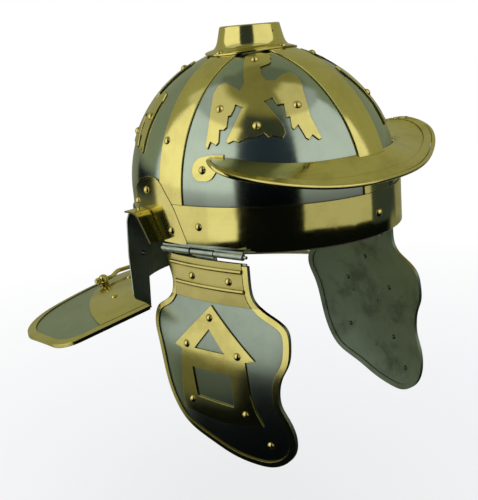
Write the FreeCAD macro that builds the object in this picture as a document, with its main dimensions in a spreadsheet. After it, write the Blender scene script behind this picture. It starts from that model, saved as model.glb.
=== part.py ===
import FreeCAD, Part
import math
import os
from FreeCAD import Matrix, Placement, Rotation, Vector

# Roman legionary helmet with a steel bowl, brass cross straps and brow band, applied eagles, a front
# peak, ear guards, a flared neck guard with a carrying handle, and two hinged cheek guards.
# Millimetres. The origin is the centre of the oval bowl at the level of the brow band's top edge.
# +Z is up, the front of the helmet faces -Y, and the wearer's right side is -X.

SIZES = {
    # the steel bowl, an oval dome on a short upright wall
    "bowl_half_width": 98.3,
    "bowl_half_length": 116.7,
    "crown_height": 107.5,
    "bowl_wall": 1.2,
    "rim_depth": 28.0,
    "front_rim_depth": 31.0,
    "rear_rim_depth": 30.0,
    # sheets laid on the bowl
    "brass_sheet": 0.9,
    "guard_sheet": 1.2,
    "seat_gap": 0.25,
    "joint_gap": 0.3,
    "front_strap_width": 27.7,
    "side_strap_width": 24.0,
    "side_strap_shift": 4.0,
    "crown_hole": 23.0,
    "band_overhang": 0.8,
    # the crest holder on the crown
    "crest_flange_radius": 36.2,
    "crest_flange_sheet": 1.0,
    "crest_foot_radius": 32.3,
    "crest_foot_level": 102.0,
    "crest_rim_radius": 23.3,
    "crest_rim_level": 123.0,
    "crest_wall": 1.2,
    "crest_pin_hole": 1.8,
    "crest_pin_level": 116.5,
    # the eagles
    "eagle_span": 76.0,
    "eagle_azimuth": 45.0,
    "front_eagle_elevation": 42.0,
    "rear_eagle_elevation": 38.0,
    # the peak over the brow
    "peak_sheet": 1.0,
    "peak_half_width": 114.0,
    "peak_front": 130.0,
    "peak_root_rise": 28.5,
    "peak_tab_radius": 8.6,
    "peak_tab_setback": 34.7,
    "peak_tab_level": 26.0,
    "peak_bead": 3.2,
    "peak_hem_width": 6.5,
    "peak_hem_sheet": 0.75,
    # the ear guards
    "ear_arch_top": 6.2,
    "ear_rear": 36.5,
    "ear_flange_reach": 112.0,
    "ear_guard_top": 18.5,
    # the neck guard
    "neck_top": 14.0,
    "neck_bottom": 87.7,
    "neck_flare": 5.0,
    "neck_front": 38.0,
    "wing_reach": 112.4,
    "shelf_level": 88.0,
    "shelf_drop": 30.0,
    "shelf_slope_width": 77.0,
    "shelf_slope_length": 114.0,
    "shelf_half_width": 157.5,
    "shelf_rear": 185.0,
    "edging_width": 5.0,
    "edging_sheet": 0.8,
    "neck_plate_half_width": 138.0,
    "neck_plate_rear": 183.0,
    # the carrying handle
    "handle_spread": 61.0,
    "handle_setback": 160.0,
    "handle_level": 96.0,
    "handle_rod": 4.0,
    "handle_drop": 7.0,
    "handle_lean": 75.0,
    "handle_ball": 9.6,
    "handle_stem": 4.4,
    "handle_foot": 9.0,
    "handle_foot_sheet": 0.9,
    "handle_collar": 6.0,
    "pivot_clearance": 0.05,
    # rivets
    "rivet_width": 6.0,
    "rivet_height": 1.9,
    "rivet_lift": 0.08,
    "rivet_shank": 2.2,
    "rivet_tail_width": 4.2,
    "rivet_tail_height": 0.9,
    "small_rivet_width": 4.0,
    "small_rivet_height": 1.27,
    # the cheek guards and their hinges
    "hinge_half_spread": 99.0,
    "hinge_setback": 10.6,
    "hinge_level": 35.0,
    "hinge_toe_in": 8.8,
    "hinge_length": 76.0,
    "knuckle_width": 5.0,
    "hinge_pin": 2.4,
    "pin_overhang": 3.0,
    "pin_head": 0.8,
    "pin_head_width": 4.2,
    "hinge_ledge_drop": 3.2,
    "cheek_length": 163.0,
    "cheek_width": 109.0,
    "cheek_bend_radius": 255.0,
    "cheek_bulge_radius": 313.0,
    "cheek_bulge": 5.9,
    "cheek_bulge_level": 100.0,
    "cheek_top_section": 38.0,
    "cheek_edging_width": 3.6,
    "rib_height": 1.6,
    # the leather pad inside the brow
    "liner_sheet": 1.8,
    "liner_top": 5.0,
    "liner_overhang": 2.6,
}

DOC = FreeCAD.newDocument("legionary_helmet")
SHEET = DOC.addObject("Spreadsheet::Sheet", "sizes")


def fill_sheet():
    """Writes every size to the sheet as a plain number under its own alias."""
    for row, (name, value) in enumerate(SIZES.items(), start=1):
        SHEET.set(f"A{row}", name)
        SHEET.set(f"B{row}", str(value))
        SHEET.setAlias(f"B{row}", name)
    DOC.recompute()


class Sizes:
    """The sheet's values by name."""

    def __getattr__(self, name):
        return float(getattr(SHEET, name))


fill_sheet()
size = Sizes()

UP = Vector(0, 0, 1)
RIGHT = -1
LEFT = 1
FULL_TURN = 360
QUARTER_TURN = 90
WIDE = 3 * size.bowl_half_length

# The bowl is worked as a round one, on spheres and cylinders, and stretched to its oval at the end.
LONG = size.bowl_half_length / size.bowl_half_width
TALL = size.crown_height / size.bowl_half_width

PARTS = []


def oval(shape):
    """Stretches a round-bowl shape to the real oval."""
    stretch = Matrix()
    stretch.A22 = LONG
    stretch.A33 = TALL
    return shape.transformGeometry(stretch)


def mirrored(shape):
    """The same shape on the wearer's other side."""
    return shape.mirror(Vector(), Vector(1, 0, 0))


def solids(shape):
    """One solid, or a compound of the separate solids, whichever the shape holds."""
    found = shape.Solids
    return found[0] if len(found) == 1 else Part.makeCompound(found)


def keep(label, shape, placement=Placement()):
    """Adds a sub-part whose outline the document's primitives cannot give."""
    item = DOC.addObject("Part::Feature", label)
    item.Label = label
    item.Shape = solids(shape)
    item.Placement = placement
    PARTS.append(item)
    return item


def bound(kind, name, formulas, placement=Placement()):
    """Adds a primitive whose sizes are formulas on the sheet."""
    item = DOC.addObject(kind, name)
    for key, formula in formulas.items():
        item.setExpression(key, formula)
    item.Placement = placement
    return item


def joined(kind, name, **links):
    """Adds a boolean, a sweep or a group over other objects."""
    item = DOC.addObject(kind, name)
    for key, value in links.items():
        setattr(item, key, value)
    return item


def as_part(item, label, placement=Placement()):
    """Makes a document object one of the sub-parts."""
    item.Label = label
    item.Placement = placement
    PARTS.append(item)
    return item


# The most of a run beside a corner that its rounding may take.
ROUNDING_SHARE = 0.49


def corner_arc(before, corner, after, radius):
    """The two tangent points and the middle of the arc that rounds one corner."""
    back = (before - corner)
    ahead = (after - corner)
    half = back.getAngle(ahead) / 2
    reach = radius / math.tan(half)
    limit = min(back.Length, ahead.Length) * ROUNDING_SHARE
    if reach > limit:
        reach = limit
        radius = reach * math.tan(half)
    back.normalize()
    ahead.normalize()
    middle = back + ahead
    middle.normalize()
    return corner + back * reach, corner + middle * (radius / math.sin(half) - radius), corner + ahead * reach


def outline(points, radius=0.0, radii=None):
    """A closed flat wire through corner points, each rounded by its own radius or by the common one."""
    count = len(points)
    radii = radii or [radius] * count
    stations = []
    for index, corner in enumerate(points):
        if radii[index] > 0:
            stations.append(corner_arc(points[index - 1], corner, points[(index + 1) % count], radii[index]))
        else:
            stations.append((corner, None, corner))
    edges = []
    for index, (enter, middle, leave) in enumerate(stations):
        if middle is not None:
            edges.append(Part.Arc(enter, middle, leave).toShape())
        following = stations[(index + 1) % count][0]
        if leave.distanceToPoint(following) > 1e-6:
            edges.append(Part.makeLine(leave, following))
    return Part.Wire(edges)


def path(points, radius):
    """An open wire of straight runs joined by tangent arcs."""
    edges = []
    here = points[0]
    for index in range(1, len(points) - 1):
        enter, middle, leave = corner_arc(points[index - 1], points[index], points[index + 1], radius)
        edges.append(Part.makeLine(here, enter))
        edges.append(Part.Arc(enter, middle, leave).toShape())
        here = leave
    edges.append(Part.makeLine(here, points[-1]))
    return Part.Wire(edges)


def prism(wire, direction):
    """The solid that a flat wire sweeps."""
    return Part.Face(wire).extrude(direction)


def side_prism(points, radius=0.0, radii=None, reach=WIDE, both=True):
    """Sweeps a side outline, given as real (y, z), across the round bowl."""
    start = -reach if both else 0.0
    corners = [Vector(start, y / LONG, z / TALL) for y, z in points]
    span = reach - start
    return prism(outline(corners, radius, radii), Vector(span, 0, 0))


def plan_prism(points, radius=0.0, radii=None):
    """Sweeps a plan outline, given as real (x, y), through the whole height."""
    corners = [Vector(x, y, -WIDE) for x, y in points]
    return prism(outline(corners, radius, radii), Vector(0, 0, 2 * WIDE))


SEAM_ANGLE = 68.0


def quarter_arc(radius):
    """A quarter circle from the brow level to the crown."""
    lean = math.sqrt(0.5) * radius
    return Part.Arc(Vector(radius, 0, 0), Vector(lean, 0, lean), Vector(0, 0, radius)).toShape()


def turned(edges, seam=SEAM_ANGLE):
    """Turns a closed profile once round the upright axis, with its seam at the rear left."""
    face = Part.Face(Part.Wire(edges))
    face.rotate(Vector(), UP, seam)
    return face.revolve(Vector(), UP, FULL_TURN)


def bowl_shell(inner, outer, depth):
    """A round dome on an upright drum, between two offsets from the bowl's outer face."""
    near = size.bowl_half_width + inner
    far = size.bowl_half_width + outer
    low = -depth / TALL
    profile = [Part.makeLine(Vector(near, 0, low), Vector(far, 0, low))]
    if depth:
        profile.append(Part.makeLine(Vector(far, 0, low), Vector(far, 0, 0)))
    profile += [quarter_arc(far), Part.makeLine(Vector(0, 0, far), Vector(0, 0, near)), quarter_arc(near)]
    if depth:
        profile.append(Part.makeLine(Vector(near, 0, 0), Vector(near, 0, low)))
    return turned(profile)


def bowl_solid(offset, depth):
    """The whole space inside one offset of the round bowl."""
    far = size.bowl_half_width + offset
    low = -depth / TALL
    profile = [Part.makeLine(Vector(0, 0, low), Vector(far, 0, low))]
    if depth:
        profile.append(Part.makeLine(Vector(far, 0, low), Vector(far, 0, 0)))
    profile += [quarter_arc(far), Part.makeLine(Vector(0, 0, far), Vector(0, 0, low))]
    return turned(profile)


SHEET_FACE = size.seat_gap + size.brass_sheet
GUARD_FACE = size.seat_gap + size.guard_sheet


def seat_on_bowl(x, y, z, face=SHEET_FACE):
    """The point of the oval bowl's covering nearest to a given place, and the way out of it there."""
    rise = max(z, 0.0)
    reach = math.sqrt((x / size.bowl_half_width) ** 2 + (y / size.bowl_half_length) ** 2
                      + (rise / size.crown_height) ** 2)
    grow = (1 + face / size.bowl_half_width) / reach
    level = z * grow if z > 0 else z
    point = Vector(x * grow, y * grow, level)
    way = Vector(x / size.bowl_half_width ** 2, y / size.bowl_half_length ** 2, rise / size.crown_height ** 2)
    way.normalize()
    return point, way


def dome(name, point, way, kind="rivet"):
    """A domed rivet head, or tail, standing on a face at a point."""
    square = f"(sizes.{kind}_width ^ 2 / 4 + sizes.{kind}_height ^ 2)"
    formulas = {
        "Radius": f"{square} / (2 * sizes.{kind}_height)",
        "Angle1": f"asin(1 - 2 * sizes.{kind}_height ^ 2 / {square})",
    }
    height = getattr(size, f"{kind}_height")
    radius = (getattr(size, f"{kind}_width") ** 2 / 4 + height ** 2) / (2 * height)
    centre = point + way * (size.rivet_lift + height - radius)
    return bound("Part::Sphere", name, formulas, Placement(centre, Rotation(UP, way)))


def rivet_group(label, seats, kind="rivet"):
    """Adds one sub-part that holds a domed head at each seat."""
    heads = [dome(f"{label}_{number}", *seat, kind) for number, seat in enumerate(seats, start=1)]
    return as_part(joined("Part::Compound", label, Links=heads), label)


def seat_on_side(y_share, z_share, face=SHEET_FACE):
    """A place on the right of a covering, from shares of the bowl's half length and crown height."""
    grow = 1 + face / size.bowl_half_width
    y = y_share * size.bowl_half_length
    z = z_share * size.crown_height
    rise = max(z, 0.0)
    rest = 1 - (y_share / grow) ** 2 - (rise / size.crown_height / grow) ** 2
    x = -size.bowl_half_width * grow * math.sqrt(rest)
    way = Vector(x / size.bowl_half_width ** 2, y / size.bowl_half_length ** 2, rise / size.crown_height ** 2)
    way.normalize()
    return Vector(x, y, z), way


def both_sides(seats):
    """Rivet seats on the right and their mirror images on the left."""
    return list(seats) + [(Vector(-p.x, p.y, p.z), Vector(-w.x, w.y, w.z)) for p, w in seats]


def at_the_rear(seats):
    """Rivet seats at the front moved to their mirror places at the rear."""
    return [(Vector(p.x, -p.y, p.z), Vector(w.x, -w.y, w.z)) for p, w in seats]


# The arch over each ear, in the side view: its front leg, top and rear leg.
EAR_ARCH_SHARES = [(-0.60, 10.0), (0.19, 4.9), (0.62, 1.0), (1.0, 1.0), (1.0, 10.0)]
EAR_ARCH_RADII_SHARES = [0.0, 0.9, 0.24, 0.16, 0.0]


def ear_arch(grow=0.0):
    """The ear opening in the side view, as real (y, z) corners and their radii, grown by a margin."""
    rear = size.ear_rear
    corners = [(y * rear - grow, -z * size.ear_arch_top + grow) for y, z in EAR_ARCH_SHARES[:3]]
    corners += [(y * rear + grow, -z * size.ear_arch_top + grow) for y, z in EAR_ARCH_SHARES[3:]]
    radii = [share * rear for share in EAR_ARCH_RADII_SHARES]
    return corners, radii


# The ear guard's plate on the bowl, in the side view, as shares of the ear opening's rear and of the
# plate's height over the brow line, each with the way that the corner moves when the outline grows.
EAR_PLATE_SHARES = [(-0.50, -1.59, -1, -1), (-0.17, -0.05, -1, 1), (0.20, 0.83, -1, 1), (0.42, 1.0, -1, 1),
                    (0.72, 1.0, 1, 1), (1.08, 0.78, 1, 1), (1.35, 0.38, 1, 1), (1.49, -0.70, 1, -1),
                    (1.0, -0.70, 1, -1), (0.60, -0.4, 1, -1), (0.2, -1.59, 1, -1)]
EAR_PLATE_RADII_SHARES = [0.05, 1.2, 0.5, 0.25, 0.25, 0.4, 0.9, 0.05, 0.0, 0.0, 0.0]


def ear_plate(grow=0.0):
    """The ear guard's outline on the bowl, as real (y, z) corners and their radii."""
    rear = size.ear_rear
    corners = []
    for y_share, z_share, y_way, z_way in EAR_PLATE_SHARES:
        corners.append((y_share * rear + y_way * grow, z_share * size.ear_guard_top + z_way * grow))
    return corners, [share * rear for share in EAR_PLATE_RADII_SHARES]


# Places of the larger rivets on the right, as shares of the bowl's half length and crown height.
BAND_RIVET_SHARE = (-0.254, -0.140)
STRAP_RIVET_SHARE = (0.028, 0.423)
EAR_RIVET_SHARES = [(0.231, 0.074), (-0.020, -0.186), (0.400, -0.030)]
BROW_RIVET_RISE_SHARE = -0.147
CREST_RIVET_SHARE = 0.92
WING_RIVET_SHARE = 0.49
WING_RIVET_REACH_SHARE = 0.88
WING_FOOT_SHARE = 0.985
PLATE_RIVET_SHARES = [(-0.571, 0.546), (-0.305, 0.735)]


def band_rivet_seats():
    """One rivet at each temple and one in the middle of the brow band."""
    level = BROW_RIVET_RISE_SHARE * size.crown_height
    middle = Vector(0, -size.bowl_half_length - SHEET_FACE * LONG, level)
    return both_sides([seat_on_side(*BAND_RIVET_SHARE)]) + [(middle, Vector(0, -1, 0))]


def crest_rivet_seats():
    """Four rivets on the crest holder's flange, over the four straps."""
    reach = CREST_RIVET_SHARE * size.crest_flange_radius
    face = SHEET_FACE + size.seat_gap + size.crest_flange_sheet
    seats = []
    for x, y in ((-reach, 0.0), (reach, 0.0), (0.0, -reach), (0.0, reach)):
        share = math.sqrt(1 - (x / size.bowl_half_width) ** 2 - (y / size.bowl_half_length) ** 2)
        seats.append(seat_on_bowl(x, y, share * size.crown_height, face))
    return seats


def peak_rivet_seats():
    """The rivet on each of the peak's tabs."""
    y_share = -size.peak_tab_setback / size.bowl_half_length
    z_share = size.peak_tab_level / size.crown_height
    return both_sides([seat_on_side(y_share, z_share)])


def neck_rivet_seats():
    """The rivets on the neck guard's brass plate."""
    seats = []
    for x_share, y_share in PLATE_RIVET_SHARES:
        x = x_share * size.shelf_half_width
        y = y_share * size.shelf_rear
        way = shelf_way(x, y)
        lift = (size.joint_gap + size.brass_sheet) / way.z + size.rivet_lift / 4
        seats.append((Vector(x, y, shelf_height(x, y) + lift), way))
    return both_sides(seats)


def wing_rivet_seats():
    """The small steel rivet on the front of each wing of the neck guard."""
    wing = Vector(-WING_RIVET_REACH_SHARE * size.wing_reach, size.neck_front, -WING_RIVET_SHARE * size.neck_bottom)
    return both_sides([(wing, Vector(0, -1, 0))])


# Where the rim starts to drop towards the brow and where it is at its deepest, as shares of the bowl's
# half length.
RIM_DROP_SHARES = (0.40, 0.62)


def make_bowl():
    """The steel bowl: a thin oval dome whose rim drops at the front and is cut away over each ear."""
    depth = size.front_rim_depth
    shell = bowl_shell(-size.bowl_wall, 0.0, depth)
    side_front, deep_front = [share * size.bowl_half_length for share in RIM_DROP_SHARES]
    trim = side_prism([
        (size.ear_rear * 2, -size.rim_depth),
        (-side_front, -size.rim_depth),
        (-deep_front, -depth),
        (-deep_front, -2 * depth),
        (size.ear_rear * 2, -2 * depth),
    ])
    corners, radii = ear_arch()
    arch = side_prism(corners, radii=radii)
    return oval(shell.cut(trim).cut(arch))


def make_strap(side, width, shift=0.0):
    """One brass strap from the brow line up to the crest holder."""
    shell = bowl_shell(size.seat_gap, SHEET_FACE, 0.0)
    half = width / 2
    if side in ("front", "rear"):
        sign = -1 if side == "front" else 1
        far = sign * WIDE
        cover = plan_prism([(-half, 0), (half, 0), (half, far), (-half, far)])
    else:
        sign = RIGHT if side == "right" else LEFT
        far = sign * WIDE
        near_edge = (-half - shift) / LONG
        far_edge = (half - shift) / LONG
        cover = plan_prism([(0, near_edge), (far, near_edge), (far, far_edge), (0, far_edge)])
    hole = Part.makeCylinder(size.crown_hole, 2 * WIDE, Vector(0, 0, -WIDE))
    low = size.joint_gap / TALL
    above = Part.makeBox(2 * WIDE, 2 * WIDE, WIDE, Vector(-WIDE, -WIDE, low))
    strap = shell.common(cover).common(above).cut(hole)
    corners, radii = ear_plate(size.joint_gap)
    return strap.cut(side_prism(corners, radii=radii))


# The brow band's lower edge in the side view, as shares of the bowl's half length and of the rim's depth.
BAND_EDGE_SHARES = [(0.5, 1.0), (-0.36, 1.0), (-0.46, 1.03), (-0.62, 1.14), (-0.74, 1.14), (-1.2, 1.10)]
BAND_TOP_SHARES = [(-1.2, 1.0), (0.5, 1.0)]
BAND_BEND_SHARE = 0.1


def make_brow_band():
    """The brass band round the brow, from ear guard to ear guard."""
    depth = size.rim_depth
    length = size.bowl_half_length
    low = -2 * depth / TALL
    drum = Part.makeCylinder(size.bowl_half_width + SHEET_FACE, -low, Vector(0, 0, low))
    core = Part.makeCylinder(size.bowl_half_width + size.seat_gap, -low, Vector(0, 0, low))
    top = [(y * length, z * depth) for y, z in BAND_TOP_SHARES]
    edge = [(y * length, -z * depth - size.band_overhang / 2) for y, z in BAND_EDGE_SHARES]
    bend = BAND_BEND_SHARE * length
    cover = side_prism(top + edge, radii=[0.0, 0.0, 0.0, bend, bend, bend, bend, 0.0])
    corners, radii = ear_plate(size.joint_gap)
    front = Part.makeBox(2 * WIDE, WIDE, 2 * WIDE, Vector(-WIDE, size.ear_rear / 2 - WIDE, -WIDE))
    ring = drum.cut(core)
    ring.rotate(Vector(), UP, SEAM_ANGLE)
    arch_corners, arch_radii = ear_arch(size.guard_sheet)
    band = ring.common(cover).cut(side_prism(corners, radii=radii))
    band = band.cut(side_prism(arch_corners, radii=arch_radii))
    return oval(band.common(front))


def make_ear_guard():
    """The right ear guard: a brass plate on the bowl with an arched lip that stands out over the ear."""
    plate = bowl_shell(size.seat_gap, GUARD_FACE, 2 * size.rim_depth)
    corners, radii = ear_plate()
    plate = plate.common(side_prism(corners, radii=radii, both=False, reach=-WIDE))
    opening_corners, opening_radii = ear_arch(-size.joint_gap - size.guard_sheet)
    opening = side_prism(opening_corners, radii=opening_radii)
    bands = []
    for margin in (-size.joint_gap, -size.joint_gap - size.guard_sheet):
        lip_corners, lip_radii = ear_arch(margin)
        run_on = [(y + size.ear_rear, z) for y, z in lip_corners[3:]]
        bands.append(side_prism(lip_corners[:3] + run_on, radii=lip_radii[:3] + [0.0, 0.0],
                                both=False, reach=-size.ear_flange_reach))
    lip = bands[0].cut(bands[1])
    leg_level = -(size.rim_depth + size.band_overhang) / TALL
    rear_end = (size.neck_front - size.joint_gap) / LONG
    room = Part.makeBox(WIDE, WIDE, WIDE, Vector(-WIDE, rear_end - WIDE, leg_level))
    lip = lip.common(room).cut(bowl_solid(size.seat_gap, 2 * size.rim_depth))
    return oval(plate.cut(opening).fuse(lip))


# The eagle's outline, from its head round past the beak, in shares of its height. The first number runs
# towards the front of the helmet and the second up the dome.
EAGLE_SHARES = [
    (-0.097, 0.555), (-0.040, 0.592), (0.040, 0.600), (0.105, 0.572), (0.126, 0.520), (0.109, 0.482),
    (0.116, 0.441), (0.098, 0.414), (0.010, 0.368), (0.008, 0.250), (0.038, 0.178), (0.114, 0.174),
    (0.188, 0.254), (0.254, 0.282), (0.312, 0.239), (0.338, 0.163), (0.347, 0.020), (0.368, -0.193),
    (0.437, -0.366), (0.412, -0.380), (0.363, -0.345), (0.328, -0.389), (0.307, -0.380), (0.253, -0.268),
    (0.211, -0.313), (0.197, -0.293), (0.195, -0.197), (0.161, -0.207), (0.159, -0.076), (0.104, -0.084),
    (0.068, -0.008), (-0.012, -0.043), (0.126, -0.270), (0.139, -0.341), (0.112, -0.386), (0.054, -0.368),
    (0.025, -0.359), (-0.005, -0.372), (-0.038, -0.333), (-0.124, -0.368), (-0.175, -0.353), (-0.253, -0.382),
    (-0.296, -0.362), (-0.343, -0.374), (-0.357, -0.355), (-0.292, -0.253), (-0.200, -0.093), (-0.183, -0.079),
    (-0.247, -0.037), (-0.267, -0.087), (-0.296, -0.134), (-0.320, -0.137), (-0.343, -0.233), (-0.368, -0.250),
    (-0.405, -0.241), (-0.424, -0.346), (-0.446, -0.363), (-0.491, -0.318), (-0.520, -0.370), (-0.533, -0.342),
    (-0.495, -0.196), (-0.458, -0.030), (-0.418, 0.137), (-0.372, 0.208), (-0.308, 0.218), (-0.258, 0.168),
    (-0.195, 0.097), (-0.149, 0.163), (-0.139, 0.325), (-0.121, 0.455),
]
# How deep under the dome's face the eagle's outline starts to cut, as a share of the dome's radius.
EAGLE_DEPTH_SHARE = 0.6
EAGLE_RIVET_SHARES = [(-0.021, 0.483), (-0.378, -0.047), (0.268, -0.083), (-0.091, -0.263)]


def eagle_axes(elevation):
    """The right front eagle's outward, forward and upward directions on the round bowl."""
    turn = math.radians(size.eagle_azimuth)
    tilt = math.radians(elevation)
    outward = Vector(-math.sin(turn) * math.cos(tilt), -math.cos(turn) * math.cos(tilt), math.sin(tilt))
    forward = UP.cross(outward)
    forward.normalize()
    return outward, forward, outward.cross(forward)


def make_eagle(elevation):
    """The right front eagle, cut from brass sheet and laid on the dome."""
    outward, forward, upward = eagle_axes(elevation)
    span = size.eagle_span
    base = outward * (size.bowl_half_width * EAGLE_DEPTH_SHARE)
    corners = [base + forward * (a * span) + upward * (b * span) for a, b in EAGLE_SHARES]
    cutter = prism(outline(corners), base)
    return bowl_shell(size.seat_gap, SHEET_FACE, 0.0).common(cutter)


def eagle_rivet_seats(elevation):
    """The four rivets of the right front eagle."""
    outward, forward, upward = eagle_axes(elevation)
    span = size.eagle_span
    seats = []
    for a, b in EAGLE_RIVET_SHARES:
        flat = forward * (a * span) + upward * (b * span)
        rise = math.sqrt(size.bowl_half_width ** 2 - flat.Length ** 2)
        spot = flat + outward * rise
        seats.append(seat_on_bowl(spot.x, spot.y * LONG, spot.z * TALL))
    return seats


def other_hand(shape):
    """The same shape of the hinge frame on the other side of the hinge line."""
    return shape.mirror(Vector(), Vector(0, 1, 0))


def back_to_front(shape):
    """The same shape at the other end of the helmet."""
    return shape.mirror(Vector(), Vector(0, 1, 0))


# The crest holder's flare from its foot to its rim: shares of the way from the rim's radius to the foot's,
# and of the way from the foot's level to the rim's.
CREST_FLARE_SHARES = [(1.0, 0.0), (0.676, 0.20), (0.324, 0.41), (0.088, 0.648), (0.010, 0.833), (0.0, 1.0)]


def make_crest_holder():
    """The brass crest holder: a flange bent to the crown and a flared tube, open at the top."""
    face = SHEET_FACE + size.seat_gap
    flange = oval(bowl_shell(face, face + size.crest_flange_sheet, 0.0))
    flange = flange.common(Part.makeCylinder(size.crest_flange_radius, WIDE))
    spread = size.crest_foot_radius - size.crest_rim_radius
    climb = size.crest_rim_level - size.crest_foot_level
    points = [Vector(size.crest_rim_radius + r * spread, 0, size.crest_foot_level + z * climb)
              for r, z in CREST_FLARE_SHARES]
    outer_edge = smooth(points)
    inward = Vector(-size.crest_wall, 0, 0)
    inner_edge = outer_edge.translated(inward)
    foot = points[0] + inward
    rim = points[-1] + inward
    tube = Part.Face(Part.Wire([outer_edge, Part.makeLine(points[-1], rim), inner_edge,
                                Part.makeLine(foot, points[0])])).revolve(Vector(), UP, FULL_TURN)
    floor = Vector(foot.x, 0, 0)
    axis_top = Vector(0, 0, rim.z)
    bore = Part.Face(Part.Wire([Part.makeLine(Vector(), floor), Part.makeLine(floor, foot), inner_edge,
                                Part.makeLine(rim, axis_top), Part.makeLine(axis_top, Vector())]))
    bore = bore.revolve(Vector(), UP, FULL_TURN)
    crown = oval(bowl_solid(face, 0.0))
    pin = Part.makeCylinder(size.crest_pin_hole / 2, 2 * size.crest_foot_radius,
                            Vector(0, -2 * size.crest_foot_radius, size.crest_pin_level), Vector(0, 1, 0))
    return tube.cut(crown).fuse(flange.cut(bore)).cut(pin)


# The peak's root on the bowl and its outer edge, from the middle to one side: shares of the bowl's half
# width, half length and the root's rise for the root, and of the peak's own half width and front for the
# edge, whose rise is a share of the same root's rise.
PEAK_ROOT_SHARES = [(0.0, 0.964, 1.0), (0.376, 0.891, 0.98), (0.560, 0.780, 1.02), (0.743, 0.600, 1.10),
                    (0.818, 0.470, 1.19), (0.872, 0.351, 1.20)]
PEAK_EDGE_SHARES = [(0.0, 1.0, 0.40), (0.395, 0.954, 0.46), (0.684, 0.850, 0.65), (0.904, 0.727, 0.91),
                    (0.996, 0.615, 1.12), (0.974, 0.508, 1.32)]


def half_points(shares, width, length, rise):
    """Real points from the left end of a symmetrical curve round the front to its right end."""
    half = [Vector(x * width, -y * length, z * rise) for x, y, z in shares]
    others = [Vector(-p.x, p.y, p.z) for p in half[1:]]
    return list(reversed(others)) + half


def smooth(points):
    """A smooth open curve through points."""
    curve = Part.BSplineCurve()
    curve.interpolate(points)
    return curve.toShape()


def peak_curves():
    root = half_points(PEAK_ROOT_SHARES, size.bowl_half_width, size.bowl_half_length, size.peak_root_rise)
    edge = half_points(PEAK_EDGE_SHARES, size.peak_half_width, size.peak_front, size.peak_root_rise)
    return root, edge


# Where the bead's centre lies along the peak's two ends, as shares of the way from its edge to its root,
# and how far the peak's sheet runs on under the dome's outline before the bowl cuts it.
BEAD_END_SHARES = [0.86, 0.62, 0.36, 0.12]
BURIED_SHARE = 0.2


def bead_line():
    """The bead's centre line, from one end of the peak round its outer edge to the other."""
    root, edge = peak_curves()
    radius = size.peak_bead / 2
    drop = Vector(0, 0, -size.peak_sheet / 2)
    half = []
    count = len(edge) // 2
    inward = root[-1] - edge[-1]
    inward.z = 0
    inward.normalize()
    behind = Vector(-inward.y, inward.x, 0) if inward.x * root[-1].y > inward.y * root[-1].x else \
        Vector(inward.y, -inward.x, 0)
    for share in BEAD_END_SHARES:
        half.append(edge[-1] + (root[-1] - edge[-1]) * share + drop + behind * radius)
    for index in range(len(edge) - 2, count - 1, -1):
        along = edge[index + 1] - edge[index - 1]
        out = UP.cross(along)
        out.normalize()
        if out.dot(edge[index]) < 0:
            out = -out
        half.append(edge[index] + drop + out * radius)
    return half + [Vector(-p.x, p.y, p.z) for p in reversed(half[:-1])]


def bead(radius):
    """A round bar along the bead's centre line."""
    points = bead_line()
    spine = Part.Wire([smooth(points)])
    ring = Part.Wire([Part.makeCircle(radius, points[0], points[1] - points[0])])
    return spine.makePipeShell([ring], True, True)


# The tab's corners in shares of its radius, three round its rivet and three on the peak's end, and how
# round each is.
TAB_SHARES = [(1.0, -0.9), (1.0, 0.9), (-0.8, -0.9)]
TAB_ROOT_SHARES = [(0.0, 0.25), (-1.0, 0.25), (-1.0, -0.35)]
TAB_RADII_SHARES = [0.9, 0.9, 0.0, 0.0, 0.0, 0.7]


def make_peak_tab(end):
    """The tab at the right end of the peak, riveted to the bowl at the temple."""
    radius = size.peak_tab_radius
    round_rivet = [(y * radius - size.peak_tab_setback, z * radius + size.peak_tab_level) for y, z in TAB_SHARES]
    at_root = [(end.y + y * radius, end.z + z * radius) for y, z in TAB_ROOT_SHARES]
    corners = round_rivet[:2] + at_root + round_rivet[2:]
    radii = [share * radius for share in TAB_RADII_SHARES]
    cover = side_prism(corners, radii=radii, both=False, reach=-WIDE)
    return oval(bowl_shell(size.seat_gap, SHEET_FACE, 0.0).common(cover))


def make_peak():
    """The brass peak: a crescent with a turned-over hem, a groove for its bead and a tab at each temple."""
    root, edge = peak_curves()
    buried = [r + (r - e) * BURIED_SHARE for r, e in zip(root, edge)]
    crescent = Part.makeRuledSurface(smooth(buried), smooth(edge)).extrude(Vector(0, 0, -size.peak_sheet))
    lift = Vector(0, 0, size.peak_hem_sheet)
    inner = [e + (r - e) * (size.peak_hem_width / (r - e).Length) + lift for r, e in zip(root, edge)]
    outer = [e + lift for e in edge]
    hem = Part.makeRuledSurface(smooth(inner), smooth(outer))
    hem = hem.extrude(Vector(0, 0, -size.peak_hem_sheet - size.peak_sheet / 2))
    bowl = oval(bowl_solid(size.seat_gap, 0.0))
    half = size.front_strap_width / 2 + size.joint_gap
    strap_cover = Part.makeBox(2 * half, WIDE, WIDE, Vector(-half, -WIDE, 0))
    strap = oval(bowl_solid(SHEET_FACE + size.seat_gap, 0.0)).common(strap_cover)
    tab = make_peak_tab(root[0])
    peak = crescent.fuse(hem).cut(bowl).cut(strap).fuse([tab, mirrored(tab)])
    peak = peak.cut(bead(size.peak_bead / 2 + size.joint_gap))
    return max(peak.Solids, key=lambda solid: solid.Volume)


def make_peak_bead():
    """The rounded brass bead along the peak's outer edge and round its ends."""
    return bead(size.peak_bead / 2)


# The handle's slanting run, as a share of its drop, and the radius of its bends, as a share of the rod.
HANDLE_SLOPE_SHARE = 1.7
HANDLE_BEND_SHARE = 2.5

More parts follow.
